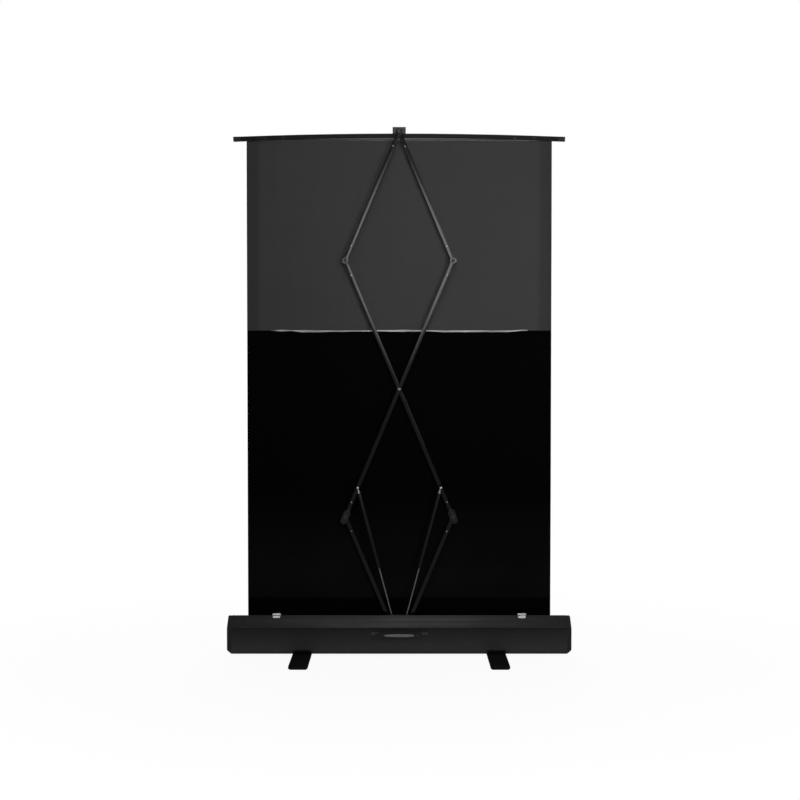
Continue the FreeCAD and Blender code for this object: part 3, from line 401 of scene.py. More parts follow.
MOUNT_PLASTIC = moulded_black("mount_plastic", 0.024, 0.5, gloss=0.3)
DARK_FASTENERS = ("bar_screws", "handle_screws", "top_pin", "case_screws")

for node_name, slot_name in SLOT.items():
    data = frame["nodes"][node_name].data
    data.materials.clear()
    data.materials.append(BLACK_OXIDE if node_name in DARK_FASTENERS else FINISH[slot_name])
frame["nodes"]["handle_mounts"].data.materials[0] = MOUNT_PLASTIC

# Rolled and moulded edges on pieces that keep their solid: each has the width of its rounding, in metres.

EDGES = {"left_end_cap": 0.002, "right_end_cap": 0.002, "lid_panel": 0.0005, "handle_mounts": 0.0015,
         "top_block": 0.0012, "bar_end_plugs": 0.0015}
SAME_POINT = 0.00001
FLAT_ANGLE = math.radians(1.0)
SHARP_ANGLE = math.radians(30.0)
for node_name, width in EDGES.items():
    modifiers = frame["nodes"][node_name].modifiers
    joined = modifiers.new("joined", "WELD")
    joined.merge_threshold = SAME_POINT
    flat = modifiers.new("flat_faces", "DECIMATE")
    flat.decimate_type = "DISSOLVE"
    flat.angle_limit = FLAT_ANGLE
    edge = modifiers.new("rounded_edge", "BEVEL")
    edge.width = width
    edge.segments = 3
    edge.limit_method = "ANGLE"
    edge.angle_limit = SHARP_ANGLE


# Surfaces

class Skin:
    """Collects closed shells for one piece. A shell is a stack of rings: each row of points is one closed
    ring, neighbouring rings are joined by quads and the first and last are capped."""

    def __init__(self):
        self.points = []
        self.faces = []
        self.marks = []
        self.lays = []
        self.count = 0

    def shell(self, rings, mark=0, lay=None):
        """rings is (rows, points round, 3); lay is the same shape and goes to the attribute of that name."""
        rows, around = rings.shape[:2]
        index = np.arange(rows * around).reshape(rows, around) + self.count
        after = np.roll(index, -1, axis=1)
        quads = np.stack([index[:-1], after[:-1], after[1:], index[1:]], axis=-1).reshape(-1, 4)
        faces = quads.tolist() + [index[0, ::-1].tolist(), index[-1].tolist()]
        self.points.append(rings.reshape(-1, 3))
        self.lays.append((rings if lay is None else lay).reshape(-1, 3))
        self.faces += faces
        self.marks += [mark] * len(faces)
        self.count += rows * around

    def piece(self, name, materials, body, replaces=(), angle=35.0):
        mesh = bpy.data.meshes.new(name)
        mesh.from_pydata(np.concatenate(self.points).tolist(), [], self.faces)
        lay = mesh.attributes.new("lay", "FLOAT_VECTOR", "POINT")
        lay.data.foreach_set("vector", np.concatenate(self.lays).astype(np.float32).ravel())
        mesh.polygons.foreach_set("material_index", np.array(self.marks, np.int32))
        outward = bmesh.new()
        outward.from_mesh(mesh)
        bmesh.ops.recalc_face_normals(outward, faces=outward.faces)
        outward.to_mesh(mesh)
        outward.free()
        mesh.shade_smooth()
        mesh.set_sharp_from_angle(angle=math.radians(angle))
        for material in materials:
            mesh.materials.append(material)
        made = bpy.data.objects.new(name, mesh)
        bpy.context.scene.collection.objects.link(made)
        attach(made, body)
        if replaces:
            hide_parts(*replaces)
        return made


def circle(radius, count=40):
    """Points round a circle of that radius, in two columns."""
    turn = np.linspace(0.0, math.tau, count, endpoint=False)
    return np.stack([radius * np.cos(turn), radius * np.sin(turn)], axis=1)


def stadium(radius, half, count=56):
    """Points at that distance from a line that reaches half each way along the second column."""
    turn = np.linspace(0.0, math.tau, count, endpoint=False) + math.tau / count / 2
    return np.stack([radius * np.cos(turn), radius * np.sin(turn) + half * np.sign(np.sin(turn))], axis=1)


def rounded(half_wide, half_high, corner, per_corner=7):
    """Points round a rectangle whose corners are quarter circles."""
    turn = np.linspace(0.0, math.pi / 2, per_corner)
    quarters = []
    for i, (sx, sy) in enumerate(((1, 1), (-1, 1), (-1, -1), (1, -1))):
        angle = turn + i * math.pi / 2
        quarters.append(np.stack([sx * (half_wide - corner) + corner * np.cos(angle),
                                  sy * (half_high - corner) + corner * np.sin(angle)], axis=1))
    return np.concatenate(quarters)


def stacked(outlines, heights, order):
    """Outlines at heights as rings; order gives the columns that hold outline 0, outline 1 and height."""
    rings = np.zeros((len(heights), len(outlines[0]), 3))
    for i, (outline, height) in enumerate(zip(outlines, heights)):
        rings[i, :, order[0]] = outline[:, 0]
        rings[i, :, order[1]] = outline[:, 1]
        rings[i, :, order[2]] = height
    return rings


def turned(profile, axis, count=32):
    """A (radius, height) profile turned about a local axis: 0 across, 1 depth or 2 along."""
    others = [i for i in range(3) if i != axis]
    return stacked([circle(r, count) for r, _ in profile], [h for _, h in profile], (*others, axis))


class Limb:
    """An arm's own axes: across it, through its depth along Y, and along it from its low pin."""

    def __init__(self, low, high, layer):
        step = high - low
        self.length = float(np.hypot(step[0], step[2]))
        self.along = np.array([step[0], 0.0, step[2]]) / self.length
        self.across = np.array([self.along[2], 0.0, -self.along[0]])
        self.origin = np.array([low[0], layer, low[2]])

    def put(self, local):
        """Local (across, depth, along) points in the shared frame."""
        depth = local[..., 1:2] * np.array([0.0, 1.0, 0.0])
        return self.origin + local[..., :1] * self.across + depth + local[..., 2:] * self.along


# Arms

TUBE_HALF = 0.008
TUBE_DEEP = 0.004
TUBE_ROUND = 0.0016
COLLAR = 0.018
LOBE_RADIUS = 0.0145
LOBE_OFFSET = 0.0165
RIVET_PLACE = 0.065
RIVET_RADIUS = 0.0035
RIVET_HEIGHT = 0.001
TAIL_RADIUS = 0.003
TAIL_HEIGHT = 0.0002
NEAR_LAYER = -0.0065
FAR_LAYER = 0.002
STUD_PLACE = 0.132
STUD_RADIUS = 0.003
STUD_TIP = -0.0122
BIG, SMALL = 0.015, 0.012
PIN_RADIUS = 0.004
PIN_HEAD = 0.007
CROSS_HEAD = 0.0055
HEAD_HEIGHT = 0.0011
NEAR_BACK = -0.0106
FAR_FRONT = 0.0061
TUBE_LIP = 0.0006
COLLAR_OVER = 0.0004
HUB_POINT = 0.0005
HUB_RADIUS = 0.0086
DISH = 0.0006
RIM_WIDTH = 0.003
ROUND_EDGE = 0.0012
ROUND_SHARE = 0.3

# Heads, as shares of their radius and height from the face outwards.

DOMED_SHARES = ((1.0, 0.0), (1.0, 0.25), (0.94, 0.55), (0.78, 0.82), (0.5, 0.96), (0.16, 1.0))
PIN_SHARES = ((1.0, 0.0), (1.0, 0.6), (0.9, 1.0), (0.62, 1.0), (0.56, 0.7), (0.5, 1.0), (0.3, 1.0),
              (0.12, 0.5))
PIN_SIDES = 40


def arm_tube(limb, low_collar):
    """A rounded box section carried along the arm, drawn in slightly at both ends."""
    high_collar = limb.length - COLLAR
    ends = [low_collar, low_collar + TUBE_LIP, high_collar - TUBE_LIP, high_collar]
    outlines = [rounded(TUBE_HALF - s, TUBE_DEEP - s, TUBE_ROUND) for s in (TUBE_LIP, 0.0, 0.0, TUBE_LIP)]
    return stacked(outlines, ends, (0, 1, 2))


def casting(place, radius, half):
    """A knuckle: stadiums at growing distance from the pin, dished between hub and rim, rounded at the
    edge."""
    rim = radius - RIM_WIDTH
    corner = ROUND_EDGE * ROUND_SHARE
    profile = [(HUB_POINT, -TUBE_DEEP), (HUB_RADIUS, -TUBE_DEEP), (HUB_RADIUS + DISH, -TUBE_DEEP + DISH),
               (rim, -TUBE_DEEP + DISH), (rim + DISH, -TUBE_DEEP), (radius - ROUND_EDGE, -TUBE_DEEP),
               (radius - corner, -TUBE_DEEP + corner), (radius, -TUBE_DEEP + ROUND_EDGE)]
    profile += [(reach, -deep) for reach, deep in reversed(profile)]
    rings = stacked([stadium(reach, half) for reach, _ in profile], [deep for _, deep in profile], (0, 2, 1))
    rings[..., 2] += place
    return rings


def collar(start, stop):
    """The short square neck between a knuckle and its tube, a hair wider than the tube."""
    outline = rounded(TUBE_HALF + COLLAR_OVER, TUBE_DEEP, TUBE_ROUND)
    return stacked([outline, outline], [start, stop], (0, 1, 2))


def button(radius, height, face, out, place):
    """A domed head turned about the depth axis, standing out from face towards out (+1 or -1)."""
    rings = turned([(radius * r, face + out * height * h) for r, h in DOMED_SHARES], 1)
    rings[..., 2] += place
    return rings


def pin_head(radius, height, face, out, place):
    """A flat head with a chamfer, a ring groove and a centre dimple, turned about the depth axis."""
    rings = turned([(radius * r, face + out * height * h) for r, h in PIN_SHARES], 1, PIN_SIDES)
    rings[..., 2] += place
    return rings


def shaft(radius, start, stop, place):
    """A plain round pin about the depth axis."""
    rings = turned([(radius, start), (radius, stop)], 1)
    rings[..., 2] += place
    return rings


ARMS = {
    "lower_left": (BASE, LOW_LEFT, FAR_LAYER, SMALL, BIG, ()),
    "lower_right": (BASE, LOW_RIGHT, NEAR_LAYER, SMALL, BIG, ()),
    "cross_a": (LOW_LEFT, HIGH_RIGHT, NEAR_LAYER, BIG, BIG, ("low", "middle", "high")),
    "cross_b": (LOW_RIGHT, HIGH_LEFT, FAR_LAYER, BIG, BIG, ("low", "high")),
    "upper_left": (HIGH_LEFT, TOP, NEAR_LAYER, BIG, SMALL, ()),
    "upper_right": (HIGH_RIGHT, TOP, FAR_LAYER, BIG, SMALL, ()),
}


def build_arm(name, low, high, layer, low_radius, high_radius, pins):
    limb = Limb(low, high, layer)
    crossing = bool(pins)
    low_collar = LOBE_OFFSET + LOBE_RADIUS if crossing else COLLAR
    out = -1.0 if layer == NEAR_LAYER else 1.0

    tube = Skin()
    shapes = [arm_tube(limb, low_collar)]
    if crossing:
        shapes.append(shaft(STUD_RADIUS, STUD_TIP - layer, -TUBE_DEEP + TUBE_ROUND, STUD_PLACE))
    for local in shapes:
        tube.shell(limb.put(local), lay=local)
    tube.piece(name + "_extrusion", [FINISH["arm_metal"]], name, [name + "_tube"])

    ends = Skin()
    shapes = [casting(0.0, LOBE_RADIUS, LOBE_OFFSET) if crossing else casting(0.0, low_radius, 0.0),
              casting(limb.length, high_radius, 0.0), collar(limb.length - COLLAR, limb.length - PIN_HEAD)]
    if not crossing:
        shapes.append(collar(PIN_HEAD, COLLAR))
    for local in shapes:
        ends.shell(limb.put(local), lay=local)
    ends.piece(name + "_castings", [FINISH["knuckle_plastic"]], name, [name + "_knuckles"])

    small = Skin()
    for place in (RIVET_PLACE, limb.length - RIVET_PLACE):
        for local in (button(RIVET_RADIUS, RIVET_HEIGHT, out * TUBE_DEEP, out, place),
                      button(TAIL_RADIUS, TAIL_HEIGHT, -out * TUBE_DEEP, -out, place)):
            small.shell(limb.put(local), 2, local)
    for which in pins:
        place = {"low": 0.0, "middle": limb.length / 2, "high": limb.length}[which]
        rear, front = NEAR_BACK - layer, FAR_FRONT - layer
        mark, head = (2, CROSS_HEAD) if which == "middle" else (1, PIN_HEAD)
        for shape_mark, local in ((0, shaft(PIN_RADIUS, rear, front, place)),
                                  (mark, pin_head(head, HEAD_HEIGHT, rear, -1.0, place)),
                                  (mark, pin_head(head, HEAD_HEIGHT, front, 1.0, place))):
            small.shell(limb.put(local), shape_mark, local)
    small.piece(name + "_pins", [FINISH["steel"], PIN_CAP, RIVET], name, [name + "_rivets"])


for arm_name, facts in ARMS.items():
    build_arm(arm_name, *facts)


# Gas strut cylinders: a crimped tube, a threaded neck with a lock nut, and a ball socket with its clip.

CYLINDER_LENGTH = 0.320
CYLINDER_RADIUS = 0.007
ROD_RADIUS = 0.003
ROD_GAP = 0.0004
NECK_LENGTH = 0.024
NECK_RADIUS = 0.0036
THREAD_TURNS = 12
THREAD_STEPS = 8
THREAD_DEPTH = 0.0003
LOCK_NUT_LOW, LOCK_NUT_HIGH = 0.0012, 0.0062
LOCK_NUT_CORNER = 0.0066
LOCK_NUT_BREAK = 0.0006
BREAK_SHARE = 0.9
SOCKET_RADIUS = 0.008
SOCKET_BACK = -0.0045
SOCKET_FRONT = 0.007
SOCKET_CHAMFER = 0.001
NUT_RADIUS = 0.005
NUT_HEIGHT = 0.0022
NUT_SEAT_SHARE = 0.8
STRUT_LAYER = float(pivot("rod_left_turn")[1])

# Turned profiles. A row is a share of the piece's radius and a distance in metres: up from the gland's end,
# down from the tube's top, in from the socket's back, and along the socket's own axis for groove and clip.

GLAND = ((0.82, 0.0), (0.95, 0.0005), (1.0, 0.0018), (1.0, 0.0085), (0.9, 0.0098), (0.9, 0.0112),
         (1.0, 0.0125))
TUBE_DOME = ((1.0, 0.004), (0.93, 0.0016), (0.75, 0.0004))
SOCKET_ROUND = ((0.82, 0.0), (0.95, 0.0008), (1.0, 0.002))
CLIP_GROOVE = ((1.0, 0.001), (0.92, 0.0014), (0.92, 0.0026), (1.0, 0.003))
CLIP_RING = ((0.873, 0.0013), (0.97, 0.0016), (0.97, 0.0024), (0.873, 0.0027))


def crimped_tube(low, high):
    """Radius along the strut: a rolled gland end, a crimp ring, the plain tube and a domed top."""
    gland = [(CYLINDER_RADIUS * share, low + up) for share, up in GLAND]
    dome = [(CYLINDER_RADIUS * share, high - down) for share, down in TUBE_DOME]
    return turned([(ROD_RADIUS + ROD_GAP, low), *gland, *dome, (NECK_RADIUS, high)], 2)


def thread(low, high):
    """A neck whose radius ripples with the thread."""
    steps = np.linspace(0.0, 1.0, THREAD_TURNS * THREAD_STEPS + 1)
    radius = NECK_RADIUS + THREAD_DEPTH * np.sin(steps * THREAD_TURNS * math.tau)
    return turned(list(zip(radius, low + steps * (high - low))), 2, 20)


def lock_nut(low, high):
    """A hexagon with its corners broken at both faces."""
    broken = LOCK_NUT_CORNER * BREAK_SHARE
    rings = [(broken, low), (LOCK_NUT_CORNER, low + LOCK_NUT_BREAK),
             (LOCK_NUT_CORNER, high - LOCK_NUT_BREAK), (broken, high)]
    return turned(rings, 2, 6)


def socket(place):
    """The ball socket, turned about the depth axis: rounded back, clip groove, plain front."""
    back = [(SOCKET_RADIUS * share, SOCKET_BACK + deep) for share, deep in SOCKET_ROUND]
    groove = [(SOCKET_RADIUS * share, deep) for share, deep in CLIP_GROOVE]
    front = [(SOCKET_RADIUS, SOCKET_FRONT - SOCKET_CHAMFER), (SOCKET_RADIUS * BREAK_SHARE, SOCKET_FRONT)]
    rings = turned([(NUT_RADIUS * NUT_SEAT_SHARE, SOCKET_BACK), *back, *groove, *front], 1)
    rings[..., 2] += place
    return rings


def clip(place):
    """The spring ring in the socket's groove."""
    rings = turned([(SOCKET_RADIUS * share, deep) for share, deep in CLIP_RING], 1)
    rings[..., 2] += place
    return rings


for side, low_pin, high_pin in (("left", LOW_LEFT, HIGH_RIGHT), ("right", LOW_RIGHT, HIGH_LEFT)):
    arm = Limb(low_pin, high_pin, 0.0)
    strut = Limb(pivot("rod_%s_turn" % side), arm.put(np.array([0.0, 0.0, STUD_PLACE])), STRUT_LAYER)
    tube_top = strut.length - NECK_LENGTH
    gas = Skin()
    for mark, local in ((0, crimped_tube(tube_top - CYLINDER_LENGTH, tube_top)),
                        (1, thread(tube_top, strut.length)),
                        (1, lock_nut(tube_top + LOCK_NUT_LOW, tube_top + LOCK_NUT_HIGH)),
                        (0, socket(strut.length)),
                        (1, clip(strut.length)),
                        (1, button(NUT_RADIUS, NUT_HEIGHT, SOCKET_BACK, -1.0, strut.length))):
        gas.shell(strut.put(local), mark, local)
    gas.piece(side + "_strut_barrel", [FINISH["strut_paint"], FINISH["steel"]], "cylinder_" + side,
              [side + "_strut_cylinder"])


# Lid hinges: nylon barrels with domed outer ends, and a strap on the lid with a neck to the middle barrel.

HINGE = pivot("lid_swing")
LEAF_LOW, LEAF_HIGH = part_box("hinge_leaves")
SHELL_TOP = float(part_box("rear_shell")[1].z)
HINGE_WIDE = 0.034
HINGE_INNER = HINGE_WIDE / 4
HINGE_X = float(LEAF_HIGH.x) - HINGE_WIDE / 2
HINGE_RADIUS = 0.0065
HINGE_LIFT = 0.0008
HINGE_GAP = 0.0004
HINGE_BRIDGE = 0.003
BARREL_RADIUS = 0.0044
LEAF_THICK = 0.0024
LEAF_CORNER = 0.0012
LEAF_FRONT = float(LEAF_HIGH.y)
LEAF_FOOT = float(LEAF_LOW.z)
LID_FACE = -0.0048
STRAP_THICK = 0.0022
LEAN = math.acos((HINGE[2] - SHELL_TOP) / (HINGE_RADIUS + HINGE_LIFT))

# The strap and its neck: half width, far edge, near edge and corner, in metres.

STRAPS = ((0.0145, -0.0145, -0.0048, 0.003), (0.0082, -0.0062, -0.002, 0.0008))

# Barrels, as shares of their length and radius.

DOMED_BARREL = ((0.0, 0.94), (0.04, 1.0), (0.4, 1.0), (0.55, 0.985), (0.7, 0.94), (0.82, 0.86), (0.91, 0.73),
                (0.97, 0.56), (1.0, 0.3))
FLAT_BARREL = ((0.0, 0.94), (0.05, 1.0), (0.95, 1.0), (1.0, 0.94))


def barrel(start, stop, rows):
    """A round barrel along X from start to stop, which may lie on either side of it; its rings go up in X."""
    profile = [(BARREL_RADIUS * radius, start + along * (stop - start)) for along, radius in rows]
    if stop < start:
        profile.reverse()
    return turned(profile, 0) + np.array([0.0, HINGE[1], HINGE[2]])


def plate(low, high, corner):
    """A small plate between two corners, rounded as seen along Y."""
    low, high = np.array(low), np.array(high)
    half = (high - low) / 2
    rings = stacked([rounded(half[0], half[2], corner)] * 2, [-half[1], half[1]], (0, 2, 1))
    return rings + (low + high) / 2


def leant(flat):
    """Points drawn flat about the hinge line, leant onto the shoulder of the case."""
    y = HINGE[1] + flat[..., 1] * math.cos(LEAN) - flat[..., 2] * math.sin(LEAN)
    z = HINGE[2] + flat[..., 1] * math.sin(LEAN) + flat[..., 2] * math.cos(LEAN)
    return np.stack([flat[..., 0], y, z], axis=-1)


fixed_leaves = Skin()
lid_straps = Skin()
bridge_low, bridge_high = HINGE[2] - HINGE_BRIDGE / 2, HINGE[2] + HINGE_BRIDGE / 2
for middle in (-HINGE_X, HINGE_X):
    lid_straps.shell(barrel(middle - HINGE_INNER, middle + HINGE_INNER, FLAT_BARREL))
    for half, far, near, corner in STRAPS:
        outline = rounded(half, (near - far) / 2, corner)
        strap = stacked([outline, outline], [LID_FACE, LID_FACE + STRAP_THICK], (0, 1, 2))
        lid_straps.shell(leant(strap + np.array([middle, (near + far) / 2, 0.0])))
    for end in (-1.0, 1.0):
        inner, outer = middle + end * (HINGE_INNER + HINGE_GAP), middle + end * HINGE_WIDE / 2
        left, right = min(inner, outer), max(inner, outer)
        fixed_leaves.shell(barrel(inner, outer, DOMED_BARREL))
        fixed_leaves.shell(plate((left, LEAF_FRONT - LEAF_THICK, LEAF_FOOT), (right, LEAF_FRONT, bridge_high),
                                 LEAF_CORNER))
        fixed_leaves.shell(plate((left, HINGE[1] + HINGE_RADIUS / 2, bridge_low),
                                 (right, LEAF_FRONT - LEAF_THICK / 2, bridge_high), LEAF_CORNER))
fixed_leaves.piece("hinge_barrels", [FINISH["nylon"]], "case", ["hinge_leaves"])
lid_straps.piece("lid_hinge_straps", [FINISH["nylon"]], "lid", ["lid_knuckles"])


# Batten: a pale rolled strip with a narrower clamp lip below it, carried along X; the lip's black finish is
# painted shade for the shadow line under the batten.

BATTEN_LOW, BATTEN_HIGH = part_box("fabric_batten")
BATTEN_MIDDLE = float(BATTEN_LOW.y + BATTEN_HIGH.y) / 2
BATTEN_HALF = float(BATTEN_HIGH.y - BATTEN_LOW.y) / 2
BATTEN_ROUND = 0.0012
LIP_HEIGHT = 0.0042
LIP_TOP = float(BATTEN_LOW.z) + LIP_HEIGHT
LIP_OVERLAP = 0.0004
LIP_ROUND = 0.0008
LIP_SHARE = 0.8
END_INSET_SHARE = 0.5
END_ROUND_SHARE = 0.6


def strip(low, high, half, corner):
    """A rounded bar section between two heights, carried along the batten and drawn in at its ends."""
    tall = (high - low) / 2
    inset = corner * END_INSET_SHARE
    outline = rounded(half, tall, corner)
    shrunk = rounded(half - inset, tall - inset, corner * END_ROUND_SHARE)
    left, right = float(BATTEN_LOW.x), float(BATTEN_HIGH.x)
    places = [left, left + corner, right - corner, right]
    rings = stacked([shrunk, outline, outline, shrunk], places, (1, 2, 0))
    return rings + np.array([0.0, BATTEN_MIDDLE, (low + high) / 2])


batten = Skin()
batten.shell(strip(LIP_TOP, float(BATTEN_HIGH.z), BATTEN_HALF, BATTEN_ROUND))
# The lip is drawn in the black pin-cap finish: painted shade for the shadow line under the batten.
batten.shell(strip(float(BATTEN_LOW.z), LIP_TOP + LIP_OVERLAP, BATTEN_HALF * LIP_SHARE, LIP_ROUND), 1)
batten_strip = batten.piece("batten_strip", [FINISH["batten_metal"], PIN_CAP], "bar",
                            ["fabric_batten"])


# Sheets

SHEET_Y = 0.013
SHEET_HALF = 0.0003
SKIM = 0.00002
COAT_FACE = 0.0002
FILM_FACE = 0.0004
PICTURE_LOW, PICTURE_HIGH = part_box("picture_fabric")
DROP_LOW, DROP_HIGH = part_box("black_drop")
FACE_LOW, FACE_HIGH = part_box("picture_face")
STRIP_LOW, STRIP_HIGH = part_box("seam_strip")
HALF_WIDE = float(PICTURE_HIGH.x)
SEAM = float(PICTURE_LOW.z)
SHEET_TOP = float(PICTURE_HIGH.z)


# How the sheet hangs. A wave is its height in metres, radians per metre along X and Z, and a phase.

WAVES = ((0.0007, 7.1, 0.0, 0.6), (0.0005, 13.7, 1.9, 1.3))
TAUT_BELOW_BAR = 0.35
SLOT_TOP, TAUT_ABOVE_SLOT = 0.22, 0.5
SEAM_RIPPLE, SEAM_REACH, SEAM_FADE = 0.0007, 0.03, 0.1
SEAM_TURNS, SEAM_DRIFT, DRIFT_TURNS = 31.0, 0.8, 9.0
EDGE_LEAN, EDGE_START, EDGE_REACH = -0.0016, 0.54, 0.0875


def ramp(distance, reach):
    """0 before any distance, rising evenly to 1 at that reach."""
    return np.clip(distance / reach, 0.0, 1.0)


def hang(x, z):
    """How far the sheet stands out of its plane: shallow upright waves that die out at the bar and at the
    slot, a ripple along the seam, and side edges that lean back a little."""
    held = ramp(SHEET_TOP - z, TAUT_BELOW_BAR) * ramp(z - SLOT_TOP, TAUT_ABOVE_SLOT)
    waves = sum(tall * np.sin(x * across + z * up + phase) for tall, across, up, phase in WAVES)
    ripple = np.sin(x * SEAM_TURNS + SEAM_DRIFT * np.sin(x * DRIFT_TURNS))
    seam = SEAM_RIPPLE * np.exp(-((z - SEAM) / SEAM_REACH) ** 2) * ripple
    edge = EDGE_LEAN * ramp(np.abs(x) - EDGE_START, EDGE_REACH) ** 2
    return (waves + edge) * held + seam * ramp(HALF_WIDE - np.abs(x), SEAM_FADE)


def cloth(name, low, high, rear, front, across, up, materials, nodes, lift=None):
    """Two grids, rear and front of the hung surface between two corners, joined round their edges; lift moves
    a point up or down by its place."""
    x, z = np.meshgrid(np.linspace(low.x, high.x, across), np.linspace(low.z, high.z, up))
    if lift is not None:
        z = z + lift(x, z)
    y = SHEET_Y + hang(x, z)
    faces = []
    points = []
    for side, offset in ((0, rear), (1, front)):
        points.append(np.stack([x, y + offset, z], axis=-1).reshape(-1, 3))
        index = np.arange(across * up).reshape(up, across) + side * across * up
        corners = [index[:-1, :-1], index[:-1, 1:], index[1:, 1:], index[1:, :-1]]
        quads = np.stack(corners, axis=-1).reshape(-1, 4)
        faces.append(quads if side == 0 else quads[:, ::-1])
    rim = np.concatenate([np.arange(across),
                          np.arange(1, up) * across + across - 1,
                          (up - 1) * across + np.arange(across - 2, -1, -1),
                          np.arange(up - 2, 0, -1) * across])
    after = np.roll(rim, -1)
    far = across * up
    faces.append(np.stack([after, rim, rim + far, after + far], axis=-1))
    mesh = bpy.data.meshes.new(name)
    mesh.from_pydata(np.concatenate(points).tolist(), [], np.concatenate(faces).tolist())
    marks = np.zeros(len(mesh.polygons), np.int32)
    marks[len(faces[0]):len(faces[0]) * 2] = len(materials) - 1
    mesh.polygons.foreach_set("material_index", marks)
    mesh.shade_smooth()
    mesh.set_sharp_from_angle(angle=math.radians(50.0))
    for material in materials:
        mesh.materials.append(material)
    made = bpy.data.objects.new(name, mesh)
    bpy.context.scene.collection.objects.link(made)
    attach(made, "case")
    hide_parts(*nodes)
    return made


# The weld wanders. Each knot is a share of the half width, the sag below the seam and the height, in metres.

WELD = ((-0.83, 0.0, 0.0008), (-0.77, 0.0005, 0.0085), (-0.71, 0.0, 0.0025), (-0.64, 0.003, 0.0095),
        (-0.45, 0.003, 0.0055), (-0.2, 0.0015, 0.004), (0.03, 0.001, 0.008), (0.15, 0.001, 0.004),
        (0.3, 0.003, 0.007), (0.72, 0.003, 0.0065), (0.8, -0.001, 0.0045), (0.95, -0.001, 0.0016))
WELD_SHARES, WELD_SAG, WELD_TALL = zip(*WELD)
WELD_RIPPLE, WELD_TURNS = 0.0003, 61.0
WELD_FULL = float(STRIP_HIGH.z - STRIP_LOW.z)


def weld_wander(x, z):
    """Sag and height of the weld between its knots, with a fine ripple of its own."""
    share = x / HALF_WIDE
    sag = np.interp(share, WELD_SHARES, WELD_SAG) - WELD_RIPPLE * np.sin(x * WELD_TURNS)
    tall = np.interp(share, WELD_SHARES, WELD_TALL)
    return -sag + (z - SEAM) * (tall / WELD_FULL - 1.0)


# Points across and up each sheet.

PICTURE_GRID, DROP_GRID, COAT_GRID, FILM_GRID = (200, 120), (200, 190), (190, 104), (420, 7)
picture_sheet = cloth("picture_sheet", PICTURE_LOW, PICTURE_HIGH, -SHEET_HALF, SHEET_HALF, *PICTURE_GRID,
                      [FINISH["sheet_grey"], FINISH["sheet_black"]], ["picture_fabric"])
drop_sheet = cloth("drop_sheet", DROP_LOW, DROP_HIGH, -SHEET_HALF, SHEET_HALF, *DROP_GRID,
                   [FINISH["sheet_black"]], ["black_drop"])
picture_coat = cloth("picture_coat", FACE_LOW, FACE_HIGH, SHEET_HALF + SKIM, SHEET_HALF + COAT_FACE,
                     *COAT_GRID, [FINISH["sheet_white"]], ["picture_face"])
seam_film = cloth("seam_film", STRIP_LOW, STRIP_HIGH, -SHEET_HALF - FILM_FACE, -SHEET_HALF - SKIM,
                  *FILM_GRID, [FINISH["seam_pale"]], ["seam_strip"], weld_wander)
for soft in (picture_sheet, drop_sheet, picture_coat, seam_film):
    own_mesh(soft)

# Dead turns on the roller: an Archimedean spiral carried along X.

AXLE = pivot("roller_wind")
TURNS = 3.0
WOUND_THICK = 0.0005
WOUND_IN, WOUND_OUT = 0.0203, 0.0222
turn = np.linspace(0.0, TURNS * math.tau, 150)
spiral = WOUND_IN + (WOUND_OUT - WOUND_IN - WOUND_THICK) * turn / turn[-1]
spoke = np.stack([np.cos(turn), np.sin(turn)], axis=1)
loop = np.concatenate([spoke * spiral[:, None], (spoke * (spiral + WOUND_THICK)[:, None])[::-1]])
wound = Skin()
wound.shell(stacked([loop, loop], [-HALF_WIDE, HALF_WIDE], (1, 2, 0)) + np.array([0.0, AXLE[1], AXLE[2]]))
wound.piece("wound_sheet", [FINISH["sheet_black"]], "roller", ["fabric_roll"], angle=60.0)


# Handle: a bow out of the two mounts, with a swollen grip in its middle.

GRIP_LOW, GRIP_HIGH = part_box("handle_grip")
GRIP_Z = float(GRIP_LOW.z + GRIP_HIGH.z) / 2
GRIP_RADIUS = 0.009
GRIP_HALF = 0.0588
BOW_RADIUS = 0.0034
GRIP_SWELL = 0.006
GRIP_Y = float(GRIP_LOW.y) + GRIP_RADIUS
BOW_X = float(GRIP_HIGH.x) - BOW_RADIUS
MOUNT_Y = float(GRIP_HIGH.y)
BEND = 0.011
FINGERS = 4
FINGER_WAVE = 0.0002
GRIP_OVER = 0.0001


def bow_path():
    """Out from one mount, round a quarter circle, along X, and back round to the other mount."""
    quarter = np.linspace(0.0, math.pi / 2, 12)
    first = np.stack([-BOW_X + BEND - BEND * np.cos(quarter), GRIP_Y + BEND - BEND * np.sin(quarter)], axis=1)
    last = np.stack([-first[::-1, 0], first[::-1, 1]], axis=1)
    return np.concatenate([[[-BOW_X, MOUNT_Y]], first, last, [[BOW_X, MOUNT_Y]]])


def bow():
    """A circle carried square to the bow's path."""
    path = bow_path()
    tangent = np.gradient(path, axis=0)
    tangent /= np.linalg.norm(tangent, axis=1)[:, None]
    ring = circle(BOW_RADIUS, 24)
    rings = np.zeros((len(path), len(ring), 3))
    rings[..., 0] = path[:, :1] - tangent[:, 1:] * ring[:, 0]
    rings[..., 1] = path[:, 1:] + tangent[:, :1] * ring[:, 0]
    rings[..., 2] = GRIP_Z + ring[:, 1]
    return rings


def hand_grip():
    """A round section that swells in a long lens from the bow's size, with a faint wave for four fingers."""
    along = np.linspace(-GRIP_HALF, GRIP_HALF, 121)
    lens = 1.0 - np.abs(along / GRIP_HALF) ** 3
    fingers = FINGER_WAVE * np.cos(along * FINGERS * math.tau / (2 * GRIP_HALF))
    swell = BOW_RADIUS + GRIP_OVER + (GRIP_SWELL - BOW_RADIUS - FINGER_WAVE + fingers) * lens
    return turned(list(zip(swell, along)), 0, 36) + np.array([0.0, GRIP_Y, GRIP_Z])


